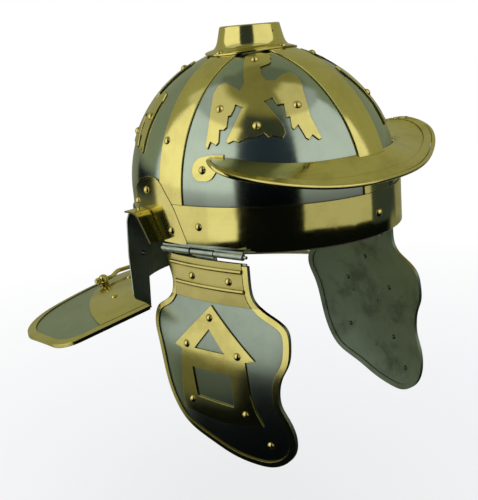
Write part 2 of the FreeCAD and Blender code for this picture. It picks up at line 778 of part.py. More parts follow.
# The neck guard's plan outline on the right, as shares of the shelf's half width and rear.
SHELF_SHARES = [(-0.559, 0.168), (-1.0, 0.441), (-0.927, 1.0)]
SHELF_RADII_SHARES = [0.0, 0.19, 0.325]


def shelf_outline(inset=0.0):
    """The shelf's plan as real (x, y) corners and radii, inset by a margin."""
    right = []
    for x_share, y_share in SHELF_SHARES:
        right.append([x_share * size.shelf_half_width, y_share * size.shelf_rear])
    right[1][0] += inset
    right[2][0] += inset
    right[2][1] -= inset
    along = Vector(right[1][0] - right[0][0], right[1][1] - right[0][1], 0)
    along.normalize()
    right[0][0] += along.y * inset
    right[0][1] += -along.x * inset
    right[1][1] += -along.x * inset
    left = [(-x, y) for x, y in reversed(right)]
    radii = [share * size.shelf_half_width for share in SHELF_RADII_SHARES]
    return [tuple(p) for p in right] + left, radii + list(reversed(radii))


# How far the shelf's slope runs on past its stated width before the outline cuts it.
SKIRT_REACH_SHARE = 1.35


def skirt(top, bottom):
    """The sloping skirt of the neck guard between two heights over the shelf's top face."""
    half_width = size.bowl_half_width + size.neck_flare
    half_length = half_width * LONG
    rings = []
    for share in (0.0, SKIRT_REACH_SHARE):
        ring = Part.Ellipse(Vector(), half_length + share * size.shelf_slope_length,
                            half_width + share * size.shelf_slope_width).toShape()
        ring.rotate(Vector(), UP, QUARTER_TURN)
        ring.translate(Vector(0, 0, -size.shelf_level - share * size.shelf_drop))
        rings.append(Part.Wire([ring]))
    cone = Part.makeLoft(rings, True, True)
    upper = cone.translated(Vector(0, 0, top))
    lower = cone.translated(Vector(0, 0, bottom))
    return upper.cut(lower)


def neck_well(grow):
    """The oval space inside the neck wall."""
    radius = size.bowl_half_width + size.neck_flare - size.bowl_wall + grow
    well = Part.makeCylinder(radius, WIDE, Vector(0, 0, -WIDE))
    return oval(well)


def make_shelf():
    """The steel shelf that flares from the neck."""
    corners, radii = shelf_outline()
    plate = skirt(0.0, -size.bowl_wall)
    return plate.common(plan_prism(corners, radii=radii)).cut(neck_well(0.0))


def make_shelf_edging():
    """The brass strip folded over the shelf's edge."""
    sheet = size.edging_sheet
    gap = size.joint_gap / 2
    outer_corners, outer_radii = shelf_outline(-gap - sheet)
    inner_corners, inner_radii = shelf_outline(size.edging_width)
    plate_corners, plate_radii = shelf_outline(-gap)
    band = skirt(gap + sheet, -size.bowl_wall - gap - sheet)
    band = band.common(plan_prism(outer_corners, radii=outer_radii))
    band = band.cut(plan_prism(inner_corners, radii=inner_radii))
    slot = skirt(gap, -size.bowl_wall - gap).common(plan_prism(plate_corners, radii=plate_radii))
    return band.cut(slot).cut(neck_well(size.bowl_wall + size.joint_gap))


# The wing's outline on the right, from its top corner down: shares of its reach and of the wall's depth.
WING_SHARES = [(0.974, 0.080), (1.0, 0.479), (1.0, 0.88), (0.87, 0.985)]
WING_RADII_SHARES = [0.080, 0.178, 0.045, 0.027]
WING_ROOT_SHARE = 0.90


def make_neck_wall():
    """The steel wall round the nape, with a wing standing out at each front edge."""
    radius = size.bowl_half_width
    inner = radius + size.seat_gap
    outer = inner + size.bowl_wall
    foot = radius + size.neck_flare
    top = -size.neck_top / TALL
    bend = -size.rear_rim_depth / TALL
    low = -size.neck_bottom / TALL
    profile = [Vector(inner, 0, top), Vector(outer, 0, top), Vector(outer, 0, bend), Vector(foot, 0, low),
               Vector(foot - size.bowl_wall, 0, low), Vector(inner, 0, bend)]
    wall = turned(Part.makePolygon(profile + profile[:1]).Edges)
    front = size.neck_front / LONG
    behind = Part.makeBox(2 * WIDE, WIDE, 2 * WIDE, Vector(-WIDE, front, -WIDE))
    wall = wall.common(behind)
    bend_x = radius * WING_ROOT_SHARE
    corners = [Vector(-bend_x, front, -WING_FOOT_SHARE * size.neck_bottom / TALL)]
    corners += [Vector(-x * size.wing_reach, front, -z * size.neck_bottom / TALL) for x, z in WING_SHARES]
    corners.insert(1, Vector(-bend_x, front, corners[1].z))
    radii = [0.0, 0.0] + [share * size.wing_reach for share in WING_RADII_SHARES]
    wing = prism(outline(corners, radii=radii), Vector(0, size.bowl_wall / LONG, 0))
    core_profile = [Vector(0, 0, 0), Vector(inner, 0, 0), Vector(inner, 0, bend),
                    Vector(foot - size.bowl_wall, 0, low), Vector(0, 0, low)]
    core = turned(Part.makePolygon(core_profile + core_profile[:1]).Edges)
    wing = wing.cut(core)
    corners, radii = ear_plate(size.joint_gap)
    room = bowl_solid(GUARD_FACE + size.joint_gap, 2 * size.rim_depth)
    room = room.common(side_prism(corners, radii=radii))
    return oval(wall.fuse([wing, mirrored(wing)]).cut(room))


def make_neck_plate():
    """The brass plate that lies on the shelf round the foot of the wall."""
    low = size.joint_gap
    plate = skirt(low + size.brass_sheet, low)
    corners, radii = shelf_outline(size.edging_width + size.joint_gap)
    crescent = Part.Ellipse(Vector(), size.neck_plate_rear, size.neck_plate_half_width).toShape()
    crescent.rotate(Vector(), UP, QUARTER_TURN)
    crescent.translate(Vector(0, 0, -WIDE))
    reach = prism(Part.Wire([crescent]), Vector(0, 0, 2 * WIDE))
    plate = plate.common(plan_prism(corners, radii=radii)).common(reach)
    return plate.cut(neck_well(size.bowl_wall + size.joint_gap))


def shelf_height(x, y):
    """The height of the shelf's top face over a place in plan."""
    half_width = size.bowl_half_width + size.neck_flare
    half_length = half_width * LONG
    low = 0.0
    high = 2.0
    for _ in range(40):
        share = (low + high) / 2
        across = x / (half_width + share * size.shelf_slope_width)
        along = y / (half_length + share * size.shelf_slope_length)
        if across ** 2 + along ** 2 > 1:
            low = share
        else:
            high = share
    return -size.shelf_level - high * size.shelf_drop


def shelf_way(x, y):
    """The upward normal of the shelf over a place in plan."""
    step = size.joint_gap
    slope_x = (shelf_height(x + step, y) - shelf_height(x - step, y)) / (2 * step)
    slope_y = (shelf_height(x, y + step) - shelf_height(x, y - step)) / (2 * step)
    way = Vector(-slope_x, -slope_y, 1)
    way.normalize()
    return way


def make_handle_post(label, side):
    """A post of the handle: a disc on the plate, a stem, and a ball bored for the rod's end."""
    x = side * size.handle_spread
    y = size.handle_setback
    way = shelf_way(x, y)
    foot_lift = size.joint_gap + size.brass_sheet + size.seat_gap
    foot_point = Vector(x, y, shelf_height(x, y) + foot_lift / way.z)
    centre = Vector(x, y, -size.handle_level)
    bore_start = centre - Vector(size.handle_ball, 0, 0)
    ball = bound("Part::Sphere", f"{label}_ball", {"Radius": "sizes.handle_ball / 2"},
                 Placement(centre, Rotation()))
    stem = bound("Part::Cylinder", f"{label}_stem", {"Radius": "sizes.handle_stem / 2"})
    stem.Height = centre.z - foot_point.z - size.handle_foot_sheet / 2
    stem.Placement = Placement(Vector(x, y, centre.z - stem.Height.Value), Rotation())
    foot = bound("Part::Cylinder", f"{label}_foot",
                 {"Radius": "sizes.handle_foot / 2", "Height": "sizes.handle_foot_sheet"},
                 Placement(foot_point, Rotation(UP, way)))
    bore = bound("Part::Cylinder", f"{label}_bore",
                 {"Radius": "sizes.handle_rod / 2 + sizes.pivot_clearance", "Height": "2 * sizes.handle_ball"},
                 Placement(bore_start, Rotation(UP, Vector(1, 0, 0))))
    solid = joined("Part::MultiFuse", f"{label}_solid", Shapes=[ball, stem, foot])
    return as_part(joined("Part::Cut", label, Base=solid, Tool=bore), label)


def make_carry_handle(label):
    """The brass carrying rod, bent into a shallow bail whose collared ends turn in the posts."""
    x = size.handle_spread
    end = x + size.handle_ball / 2 + size.handle_rod
    bend = x - size.handle_ball
    grip = bend - HANDLE_SLOPE_SHARE * size.handle_drop
    lean = math.radians(size.handle_lean)
    drop = Vector(0, math.sin(lean), math.cos(lean)) * size.handle_drop
    points = [Vector(-end, 0, 0), Vector(-bend, 0, 0), Vector(-grip, 0, 0) + drop,
              Vector(grip, 0, 0) + drop, Vector(bend, 0, 0), Vector(end, 0, 0)]
    line = DOC.addObject("Part::Feature", f"{label}_line")
    line.Shape = path(points, HANDLE_BEND_SHARE * size.handle_rod)
    along = Rotation(UP, Vector(1, 0, 0))
    ring = bound("Part::Circle", f"{label}_ring", {"Radius": "sizes.handle_rod / 2"},
                 Placement(points[0], along))
    edges = [f"Edge{number}" for number in range(1, len(line.Shape.Edges) + 1)]
    rod = joined("Part::Sweep", f"{label}_rod", Sections=[ring], Spine=(line, edges), Solid=True,
                 Frenet=False)
    pieces = [rod]
    for sign in (RIGHT, LEFT):
        start = Vector(sign * (x + size.handle_ball / 2 + size.joint_gap), 0, 0)
        pieces.append(bound("Part::Cylinder", f"{label}_collar",
                            {"Radius": "sizes.handle_collar / 2", "Height": "sizes.handle_rod / 2"},
                            Placement(start, Rotation(UP, Vector(sign, 0, 0)))))
    pivot = Vector(0, size.handle_setback, -size.handle_level)
    return as_part(joined("Part::MultiFuse", label, Shapes=pieces), label, Placement(pivot, Rotation()))


def cheek_placement(side):
    """Puts a cheek guard drawn on its hinge line in place: X runs forward and Z up."""
    turn = QUARTER_TURN - size.hinge_toe_in if side == RIGHT else QUARTER_TURN + size.hinge_toe_in
    base = Vector(side * size.hinge_half_spread, size.hinge_setback, -size.hinge_level)
    return Placement(base, Rotation(UP, -turn))


# The cheek guard is drawn for the right side on its hinge line: X runs forward along the hinge, Z up and
# -Y outward. Its outline goes from the rear top corner down and round to the front, as shares of its width
# along the hinge and of its length down from the hinge line.
CHEEK_SHARES = [
    (-0.010, 0.032), (-0.013, 0.089), (0.015, 0.145), (0.003, 0.216), (-0.054, 0.267), (-0.183, 0.322),
    (-0.224, 0.400), (-0.186, 0.494), (-0.139, 0.632), (-0.078, 0.771), (0.037, 0.876), (0.260, 0.939),
    (0.464, 0.985), (0.654, 1.004), (0.780, 1.0), (0.881, 0.970), (0.964, 0.908), (0.988, 0.823),
    (0.955, 0.739), (0.911, 0.676), (0.903, 0.602), (0.932, 0.528), (0.972, 0.475), (0.990, 0.384),
    (0.969, 0.318), (0.908, 0.283), (0.797, 0.243), (0.731, 0.199), (0.710, 0.131), (0.709, 0.061),
    (0.708, 0.032),
]
TEMPLE_OUTER_SHARES = [(0.390, 0.247), (0.751, 0.470), (0.674, 0.482), (0.698, 0.640), (0.731, 0.721),
                       (0.777, 0.785), (0.452, 0.814), (0.040, 0.804), (0.090, 0.485), (0.012, 0.476)]
TEMPLE_GABLE_SHARES = [(0.372, 0.358), (0.227, 0.465), (0.504, 0.461)]
TEMPLE_DOOR_SHARES = [(0.193, 0.562), (0.553, 0.558), (0.552, 0.716), (0.216, 0.709)]
CHEEK_RIVET_SHARES = [(0.377, 0.305), (0.148, 0.455), (0.614, 0.460), (0.153, 0.739), (0.645, 0.741)]
CHEEK_TIP_RIVET_SHARE = (0.804, 0.884)
CHEEK_TOP_RIVET_SHARES = [(0.231, 0.121), (0.560, 0.122)]
RIB_LEVEL_SHARES = [0.070, 0.161]
# Where the guard's bend has its middle along the hinge, how far its surface is swung each way about the
# upright axis of the bend, and how far it runs on below the guard.
CHEEK_BEND_SHARE = 0.50
CHEEK_SWING = 45
CHEEK_RUN_ON_SHARE = 1.2


def bend_axis(level):
    """A point of the upright axis that the guard is bent about."""
    return Vector(CHEEK_BEND_SHARE * size.cheek_width, size.cheek_bend_radius, level)


def bulge_hub():
    """The distance from the bend's axis to the centre of the bulge."""
    return size.cheek_bend_radius + size.cheek_bulge - size.cheek_bulge_radius


def flat_radius():
    """The distance from the bend's axis to the outer face of the guard's upright top section."""
    climb = size.cheek_bulge_level - size.cheek_top_section
    return bulge_hub() + math.sqrt(size.cheek_bulge_radius ** 2 - climb ** 2)


def crease_level(offset):
    """The level where the top section meets the bulge, on the outer face moved out by an offset."""
    across = flat_radius() + offset - bulge_hub()
    return math.sqrt((size.cheek_bulge_radius + offset) ** 2 - across ** 2) - size.cheek_bulge_level


def guard_radius(level, offset):
    """The distance from the bend's axis to the guard's outer face moved out by an offset, at a level."""
    if level >= crease_level(offset):
        return flat_radius() + offset
    climb = level + size.cheek_bulge_level
    return bulge_hub() + math.sqrt((size.cheek_bulge_radius + offset) ** 2 - climb ** 2)


def profile_point(level, offset):
    """A point of the guard's section through the middle of its bend."""
    return bend_axis(level) - Vector(0, guard_radius(level, offset), 0)


def curved_sheet(inner, outer):
    """The bent and bulging sheet between two offsets, larger than the guard all round."""
    top = size.knuckle_width
    foot = -CHEEK_RUN_ON_SHARE * size.cheek_length
    sides = []
    for offset in (outer, inner):
        crease = crease_level(offset)
        middle = (crease + foot) / 2
        straight = Part.makeLine(profile_point(top, offset), profile_point(crease, offset))
        arc = Part.Arc(profile_point(crease, offset), profile_point(middle, offset),
                       profile_point(foot, offset))
        sides.append((straight, arc.toShape()))
    below = Part.makeLine(profile_point(foot, outer), profile_point(foot, inner))
    above = Part.makeLine(profile_point(top, inner), profile_point(top, outer))
    face = Part.Face(Part.Wire([sides[0][0], sides[0][1], below, sides[1][1], sides[1][0], above]))
    axis = bend_axis(0)
    face.rotate(axis, UP, -CHEEK_SWING)
    return face.revolve(axis, UP, 2 * CHEEK_SWING)


def guard_points(shares):
    """Points of the hinge frame from shares of the guard's width and length."""
    return [Vector(x * size.cheek_width, 0, -z * size.cheek_length) for x, z in shares]


def dished(points, inner, outer, rounded=False):
    """A piece of the curved sheet cut to an outline of straight runs, or to one smooth line closed on top."""
    reach = Vector(0, size.cheek_width / 2, 0)
    start = [point - reach for point in points]
    if rounded:
        wire = Part.Wire([smooth(start), Part.makeLine(start[-1], start[0])])
    else:
        wire = outline(start)
    return prism(wire, reach * 2).common(curved_sheet(inner, outer))


def seat_on_guard(share, offset):
    """The place and outward direction of a rivet on the guard's outer face moved out by an offset."""
    spot = guard_points([share])[0]
    axis = bend_axis(spot.z)
    radius = guard_radius(spot.z, offset)
    across = spot.x - axis.x
    point = Vector(spot.x, axis.y - math.sqrt(radius ** 2 - across ** 2), spot.z)
    way = (point - axis) * (1 / radius)
    if spot.z < crease_level(offset):
        way = way * (radius - bulge_hub()) + UP * (spot.z + size.cheek_bulge_level)
    way.normalize()
    return point, way


def rivet_hole(point, way):
    """The hole for a rivet's shank through every sheet below its seat."""
    radius = size.rivet_shank / 2 + size.pivot_clearance
    return Part.makeCylinder(radius, 2 * size.rivet_width, point - way * size.rivet_width, way)


def guard_seats():
    """Every rivet of the right guard: its seat, and the names of the thicknesses that it holds together."""
    wall = ["bowl_wall"]
    sheet = wall + ["seat_gap", "brass_sheet"]
    leaf = sheet + ["seat_gap", "brass_sheet"]
    high = size.seat_gap + size.brass_sheet
    seats = [(seat_on_guard(share, high), sheet) for share in CHEEK_RIVET_SHARES]
    seats += [(seat_on_guard(share, high), leaf) for share in CHEEK_TOP_RIVET_SHARES]
    seats.append((seat_on_guard(CHEEK_TIP_RIVET_SHARE, 0.0), wall))
    return seats


def guard_holes():
    """The holes of all the guard's rivets."""
    return [rivet_hole(*seat) for seat, grip in guard_seats()]


def offset_points(points, distance):
    """Moves the guard's edge points outward, in its own flat view, by a distance."""
    moved = []
    last = len(points) - 1
    for index, point in enumerate(points):
        ahead = points[min(index + 1, last)] - points[max(index - 1, 0)]
        ahead.normalize()
        moved.append(point + Vector(ahead.z, 0, -ahead.x) * distance)
    return moved


def make_cheek_plate():
    """The bent and dished steel plate of the cheek guard."""
    return dished(guard_points(CHEEK_SHARES), -size.bowl_wall, 0.0, rounded=True).cut(guard_holes())


def make_cheek_edging():
    """The brass strip folded over the guard's edge, open along the hinge."""
    points = guard_points(CHEEK_SHARES)
    gap = size.joint_gap / 2
    sheet = size.edging_sheet
    rim = offset_points(points, gap + sheet)
    edge = offset_points(points, gap)
    inside = offset_points(points, -size.cheek_edging_width)
    level = points[0].z - size.cheek_edging_width / 2
    band = dished(rim, -size.bowl_wall - gap - sheet, gap + sheet, rounded=True)
    slot = dished(edge, -size.bowl_wall - gap, gap, rounded=True)
    middle = dished(inside, -4 * size.bowl_wall, 4 * size.bowl_wall, rounded=True)
    above = Part.makeBox(WIDE, WIDE, WIDE, Vector(-WIDE / 2, -WIDE / 2, level))
    return band.cut(slot).cut(middle).cut(above)


def make_cheek_top():
    """The ribbed brass section below the hinge."""
    margin = offset_points(guard_points(CHEEK_SHARES), -size.cheek_edging_width - size.joint_gap)
    low = size.seat_gap
    high = low + size.brass_sheet
    below = Part.makeBox(WIDE, WIDE, WIDE, Vector(-WIDE / 2, -WIDE / 2, -size.cheek_top_section - WIDE))
    top = dished(margin, low, high, rounded=True).cut(below)
    column = dished(margin, low + size.brass_sheet / 2, high + 2 * size.rib_height, rounded=True)
    ribs = []
    for share in RIB_LEVEL_SHARES:
        axis = bend_axis(-share * size.cheek_length)
        ribs.append(Part.makeTorus(flat_radius() + high, size.rib_height, axis, UP).common(column))
    return top.fuse(ribs).cut(guard_holes())


def make_temple():
    """The brass temple front on the cheek guard, with its gable and door openings."""
    low = size.seat_gap
    high = low + size.brass_sheet
    body = dished(guard_points(TEMPLE_OUTER_SHARES), low, high)
    gable = dished(guard_points(TEMPLE_GABLE_SHARES), -high, 3 * high)
    door = dished(guard_points(TEMPLE_DOOR_SHARES), -high, 3 * high)
    return body.cut(gable).cut(door).cut(guard_holes())


def make_cheek_rivets(label, side):
    """The whole rivets of one cheek guard: domed heads, shanks through the sheets, and peened tails."""
    rivets = []
    for number, ((point, way), grip) in enumerate(guard_seats(), start=1):
        if side == LEFT:
            point = Vector(point.x, -point.y, point.z)
            way = Vector(way.x, -way.y, way.z)
        name = f"{label}_{number}"
        depth = sum(getattr(size, part) for part in grip)
        formula = " + ".join(f"sizes.{part}" for part in grip)
        foot = point - way * (depth + 2 * size.rivet_lift)
        head = dome(f"{name}_head", point, way)
        tail = dome(f"{name}_tail", point - way * depth, -way, "rivet_tail")
        shank = bound("Part::Cylinder", f"{name}_shank",
                      {"Radius": "sizes.rivet_shank / 2", "Height": f"{formula} + 4 * sizes.rivet_lift"},
                      Placement(foot, Rotation(UP, way)))
        rivets.append(joined("Part::MultiFuse", name, Shapes=[head, shank, tail]))
    return as_part(joined("Part::Compound", label, Links=rivets), label, cheek_placement(side))


KNUCKLE_SHARES = [(0.0, 0.355), (0.375, 0.655), (0.665, 1.0)]
# Levels of the moving leaf's shoulder and foot, as shares of the guard's top section, and the room round
# its rivets, as a share of a rivet's width.
LEAF_SHOULDER_SHARE = 0.21
LEAF_FOOT_SHARE = 0.70
LEAF_MARGIN_SHARE = 0.75
# How far below the knuckle the leaf's bridge lies, as a share of its sheet.
BRIDGE_DROP_SHARE = 0.75


def knuckle(share):
    """One rolled knuckle on the hinge line, and its bore."""
    start, end = [value * size.hinge_length for value in share]
    axis = Vector(1, 0, 0)
    tube = Part.makeCylinder(size.knuckle_width / 2, end - start, Vector(start, 0, 0), axis)
    bore_radius = size.hinge_pin / 2 + size.pivot_clearance
    bore = Part.makeCylinder(bore_radius, end - start, Vector(start, 0, 0), axis)
    return tube, bore


def make_cheek_leaf():
    """The moving hinge leaf: the middle knuckle on a plate that is riveted behind the guard's top."""
    tube, bore = knuckle(KNUCKLE_SHARES[1])
    start, end = [value * size.hinge_length for value in KNUCKLE_SHARES[1]]
    sheet = size.brass_sheet
    back = -size.bowl_wall - size.seat_gap
    root = -size.knuckle_width / 2 - sheet * BRIDGE_DROP_SHARE
    shoulder = -LEAF_SHOULDER_SHARE * size.cheek_top_section
    foot = -LEAF_FOOT_SHARE * size.cheek_top_section
    margin = LEAF_MARGIN_SHARE * size.rivet_width
    rear, front = [share[0] * size.cheek_width for share in CHEEK_TOP_RIVET_SHARES]
    corners = [(start, root + sheet), (end, root + sheet), (end, shoulder), (front + margin, shoulder),
               (front + margin, foot), (rear - margin, foot), (rear - margin, shoulder), (start, shoulder)]
    plate = dished([Vector(x, 0, z) for x, z in corners], back - sheet, back)
    bridge = [Vector(start, 0, root), Vector(end, 0, root), Vector(end, 0, root + sheet),
              Vector(start, 0, root + sheet)]
    strip = dished(bridge, back - sheet, 2 * sheet)
    return tube.fuse([plate, strip]).cut(bore).cut(guard_holes())


# The fixed leaf's plate inside the bowl, as shares of the bowl's half length and of the rim's depth, and
# how far in its ledge reaches at each end, as shares of the hinge line's distance from the middle.
LINING_REACH_SHARE = 0.55
LINING_TOP_SHARE = 0.55
LEDGE_SHARES = (0.7, 0.9)


def make_hinge_leaf():
    """The right fixed leaf: two knuckles hung from a ledge under the rim, and its plate inside the bowl."""
    sheet = size.brass_sheet
    top = size.hinge_level - size.rim_depth - size.hinge_ledge_drop
    pieces = []
    bores = []
    for share in (KNUCKLE_SHARES[0], KNUCKLE_SHARES[2]):
        tube, bore = knuckle(share)
        start, end = [value * size.hinge_length for value in share]
        web = Part.makeBox(end - start, sheet, top, Vector(start, -sheet / 2, 0))
        pieces += [tube, web]
        bores.append(bore)
    place = cheek_placement(RIGHT)
    knuckles = pieces[0].fuse(pieces[1:]).cut(bores)
    knuckles.Placement = place
    level = -size.hinge_level + top
    back = -size.bowl_wall - size.seat_gap
    front_y = -LINING_REACH_SHARE * size.bowl_half_length
    lining_top = -LINING_TOP_SHARE * size.rim_depth
    lining = bowl_shell(back - sheet, back, size.hinge_level)
    cover = side_prism([(0.0, level), (front_y, level), (front_y, lining_top), (0.0, lining_top)],
                       both=False, reach=-WIDE)
    lining = oval(lining.common(cover))
    inner = oval(Part.makeCylinder(size.bowl_half_width + back - sheet, WIDE, Vector(0, 0, -WIDE / 2)))
    rear = place.multVec(Vector(0, 0, 0))
    front = place.multVec(Vector(size.hinge_length, 0, 0))
    front_share, rear_share = LEDGE_SHARES
    ledge = plan_prism([(rear.x - sheet / 2, rear.y), (front.x - sheet / 2, front.y),
                        (front.x * front_share, front.y), (rear.x * rear_share, rear.y)])
    slab = Part.makeBox(2 * WIDE, 2 * WIDE, sheet, Vector(-WIDE, -WIDE, level - sheet))
    ledge = ledge.common(slab).cut(inner)
    return knuckles.fuse([lining, ledge])


def make_hinge_pin(label, side):
    """The steel pin through a hinge, with a small head at its rear end."""
    along = Rotation(UP, Vector(1, 0, 0))
    head_start = Vector(-size.pin_head - size.pivot_clearance, 0, 0)
    shaft = bound("Part::Cylinder", f"{label}_shaft",
                  {"Radius": "sizes.hinge_pin / 2",
                   "Height": "sizes.pin_head + sizes.pivot_clearance + sizes.hinge_length + sizes.pin_overhang"},
                  Placement(head_start, along))
    head = bound("Part::Cylinder", f"{label}_head",
                 {"Radius": "sizes.pin_head_width / 2", "Height": "sizes.pin_head"}, Placement(head_start, along))
    return as_part(joined("Part::Fuse", label, Base=shaft, Tool=head), label, cheek_placement(side))


# Where the leather pad ends at each temple, as a share of the bowl's half length.
LINER_END_SHARE = 0.58


def make_liner():
    """The leather pad inside the brow."""
    inner = -size.bowl_wall - size.joint_gap
    shell = bowl_shell(inner - size.liner_sheet, inner, 2 * size.front_rim_depth)
    start = -LINER_END_SHARE * size.bowl_half_length
    low = -size.front_rim_depth - size.liner_overhang
    cover = side_prism([(start, low), (start, -size.liner_top), (-2 * size.bowl_half_length, -size.liner_top),
                        (-2 * size.bowl_half_length, low)])
    return oval(shell.common(cover))


def build():
    keep("bowl", make_bowl())
    front = oval(make_strap("front", size.front_strap_width))
    keep("front_strap", front)
    rear = oval(make_strap("rear", size.front_strap_width))
    keep("rear_strap", rear)
    side_strap = oval(make_strap("right", size.side_strap_width, size.side_strap_shift))
    keep("right_strap", side_strap)
    keep("left_strap", mirrored(side_strap))
    keep("brow_band", make_brow_band())
    ear = make_ear_guard()
    keep("ear_guard_right", ear)
    keep("ear_guard_left", mirrored(ear))
    front_eagle = oval(make_eagle(size.front_eagle_elevation))
    keep("eagle_front_right", front_eagle)
    keep("eagle_front_left", mirrored(front_eagle))
    rear_eagle = back_to_front(oval(make_eagle(size.rear_eagle_elevation)))
    keep("eagle_rear_right", rear_eagle)
    keep("eagle_rear_left", mirrored(rear_eagle))
    keep("crest_holder", make_crest_holder())
    keep("brow_peak", make_peak())
    keep("peak_bead", make_peak_bead())
    keep("neck_wall", make_neck_wall())
    keep("neck_shelf", make_shelf())
    keep("neck_edging", make_shelf_edging())
    keep("neck_plate", make_neck_plate())
    make_handle_post("handle_post_right", RIGHT)
    make_handle_post("handle_post_left", LEFT)
    make_carry_handle("carry_handle")
    keep("brow_liner", make_liner())
    rivet_group("eagle_rivets", both_sides(eagle_rivet_seats(size.front_eagle_elevation)
                                           + at_the_rear(eagle_rivet_seats(size.rear_eagle_elevation))))
    rivet_group("band_rivets", band_rivet_seats())
    rivet_group("strap_rivets", both_sides([seat_on_side(*STRAP_RIVET_SHARE)]))
    rivet_group("crest_rivets", crest_rivet_seats())
    rivet_group("peak_rivets", peak_rivet_seats())
    rivet_group("ear_rivets", both_sides([seat_on_side(y, z, GUARD_FACE) for y, z in EAR_RIVET_SHARES]))
    rivet_group("neck_rivets", neck_rivet_seats())
    rivet_group("wing_rivets", wing_rivet_seats(), "small_rivet")
    leaf = make_hinge_leaf()
    keep("hinge_leaf_right", leaf)
    keep("hinge_leaf_left", mirrored(leaf))
    guard = {
        "cheek_plate": make_cheek_plate(),
        "cheek_edging": make_cheek_edging(),
        "cheek_top": make_cheek_top(),
        "temple_front": make_temple(),
        "cheek_hinge_leaf": make_cheek_leaf(),
    }
    for hand, side in (("right", RIGHT), ("left", LEFT)):
        make_hinge_pin(f"hinge_pin_{hand}", side)
        make_cheek_rivets(f"cheek_rivets_{hand}", side)
        for name, shape in guard.items():
            keep(f"{name}_{hand}", shape if side == RIGHT else other_hand(shape), cheek_placement(side))


def write_parts():
    """Checks every object and writes each sub-part's solids."""
    DOC.recompute()
    for item in DOC.Objects:
        if "Invalid" in item.State or "Error" in item.State:
            raise RuntimeError(f"{item.Label} failed: {item.State}")
    os.makedirs("parts", exist_ok=True)
    faulty = []
    for item in PARTS:
        shape = item.Shape
        sound = not shape.isNull() and shape.isValid() and bool(shape.Solids)
        print(f"{item.Label:24s} solids {len(shape.Solids):3d}  volume {shape.Volume:10.1f} mm3  sound {sound}")
        if sound:
            shape.exportStep(f"parts/{item.Label}.step")
        else:
            faulty.append(item.Label)
    if faulty:
        raise RuntimeError(f"no valid solid: {faulty}")


build()
write_parts()
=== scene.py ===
# %% [markdown]
# Legionary helmet: a dressed render around fixed solids
#
# The solids of the helmet come ready made: the steel bowl, its brass straps and band, the eagles, the peak,
# the guards for ears, cheeks and neck, and the handle. This lesson leaves every one of them where it is. It
# gives them the finish of the real thing, which is polished brass over dark polished steel, and then a small
# studio that lets those metals show what they are.

import math

import bmesh
import bpy
from mathutils import Matrix, Vector


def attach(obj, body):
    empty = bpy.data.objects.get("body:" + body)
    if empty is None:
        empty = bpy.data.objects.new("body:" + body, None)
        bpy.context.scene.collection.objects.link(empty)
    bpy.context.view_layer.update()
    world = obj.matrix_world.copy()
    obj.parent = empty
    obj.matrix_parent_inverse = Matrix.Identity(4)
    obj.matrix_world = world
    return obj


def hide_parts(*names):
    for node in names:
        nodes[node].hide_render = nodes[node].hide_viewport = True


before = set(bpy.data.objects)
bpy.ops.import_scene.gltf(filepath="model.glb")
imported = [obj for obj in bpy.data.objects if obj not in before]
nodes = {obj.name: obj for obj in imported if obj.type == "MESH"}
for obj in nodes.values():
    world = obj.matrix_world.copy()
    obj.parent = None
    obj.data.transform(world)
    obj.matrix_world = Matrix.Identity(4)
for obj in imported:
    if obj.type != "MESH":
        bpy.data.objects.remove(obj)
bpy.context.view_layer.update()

# %% [markdown]
# Shader maths as plain expressions
#
# A material here is a small sum: a base colour, less some tarnish, times a grain. Blender adds such sums up
# with one node for each step, which is slow to write out. A short class that wraps a node's socket lets
# Python's own plus, minus and times signs make those nodes instead. Numbers go through Math nodes, and
# colours through Mix nodes, because a Math node would turn a colour grey.

# %% A socket that does sums
class Wire:
    """A number leaving a node. Plus, minus, times and power signs add Math nodes."""

    def __init__(self, finish, socket):
        self.finish = finish
        self.socket = socket

    def _sum(self, operation, first, second):
        return self.finish.add("ShaderNodeMath", {"operation": operation}, {0: first, 1: second})

    def __add__(self, other):
        return self._sum("ADD", self, other)

    def __sub__(self, other):
        return self._sum("SUBTRACT", self, other)

    def __rsub__(self, other):
        return self._sum("SUBTRACT", other, self)

    def __mul__(self, other):
        return self._sum("MULTIPLY", self, other)

    def __pow__(self, other):
        return self._sum("POWER", self, other)

    def most(self, other):
        return self._sum("MAXIMUM", self, other)

    def least(self, other):
        return self._sum("MINIMUM", self, other)

    def out(self, name):
        """Another output of the same node."""
        return Wire(self.finish, self.socket.node.outputs[name])


print("sums ready")

# %% A material built a node at a time
CORNER_SAMPLES = 6
EDGE_SAMPLES = 4
EDGE_ROUND = 0.00035


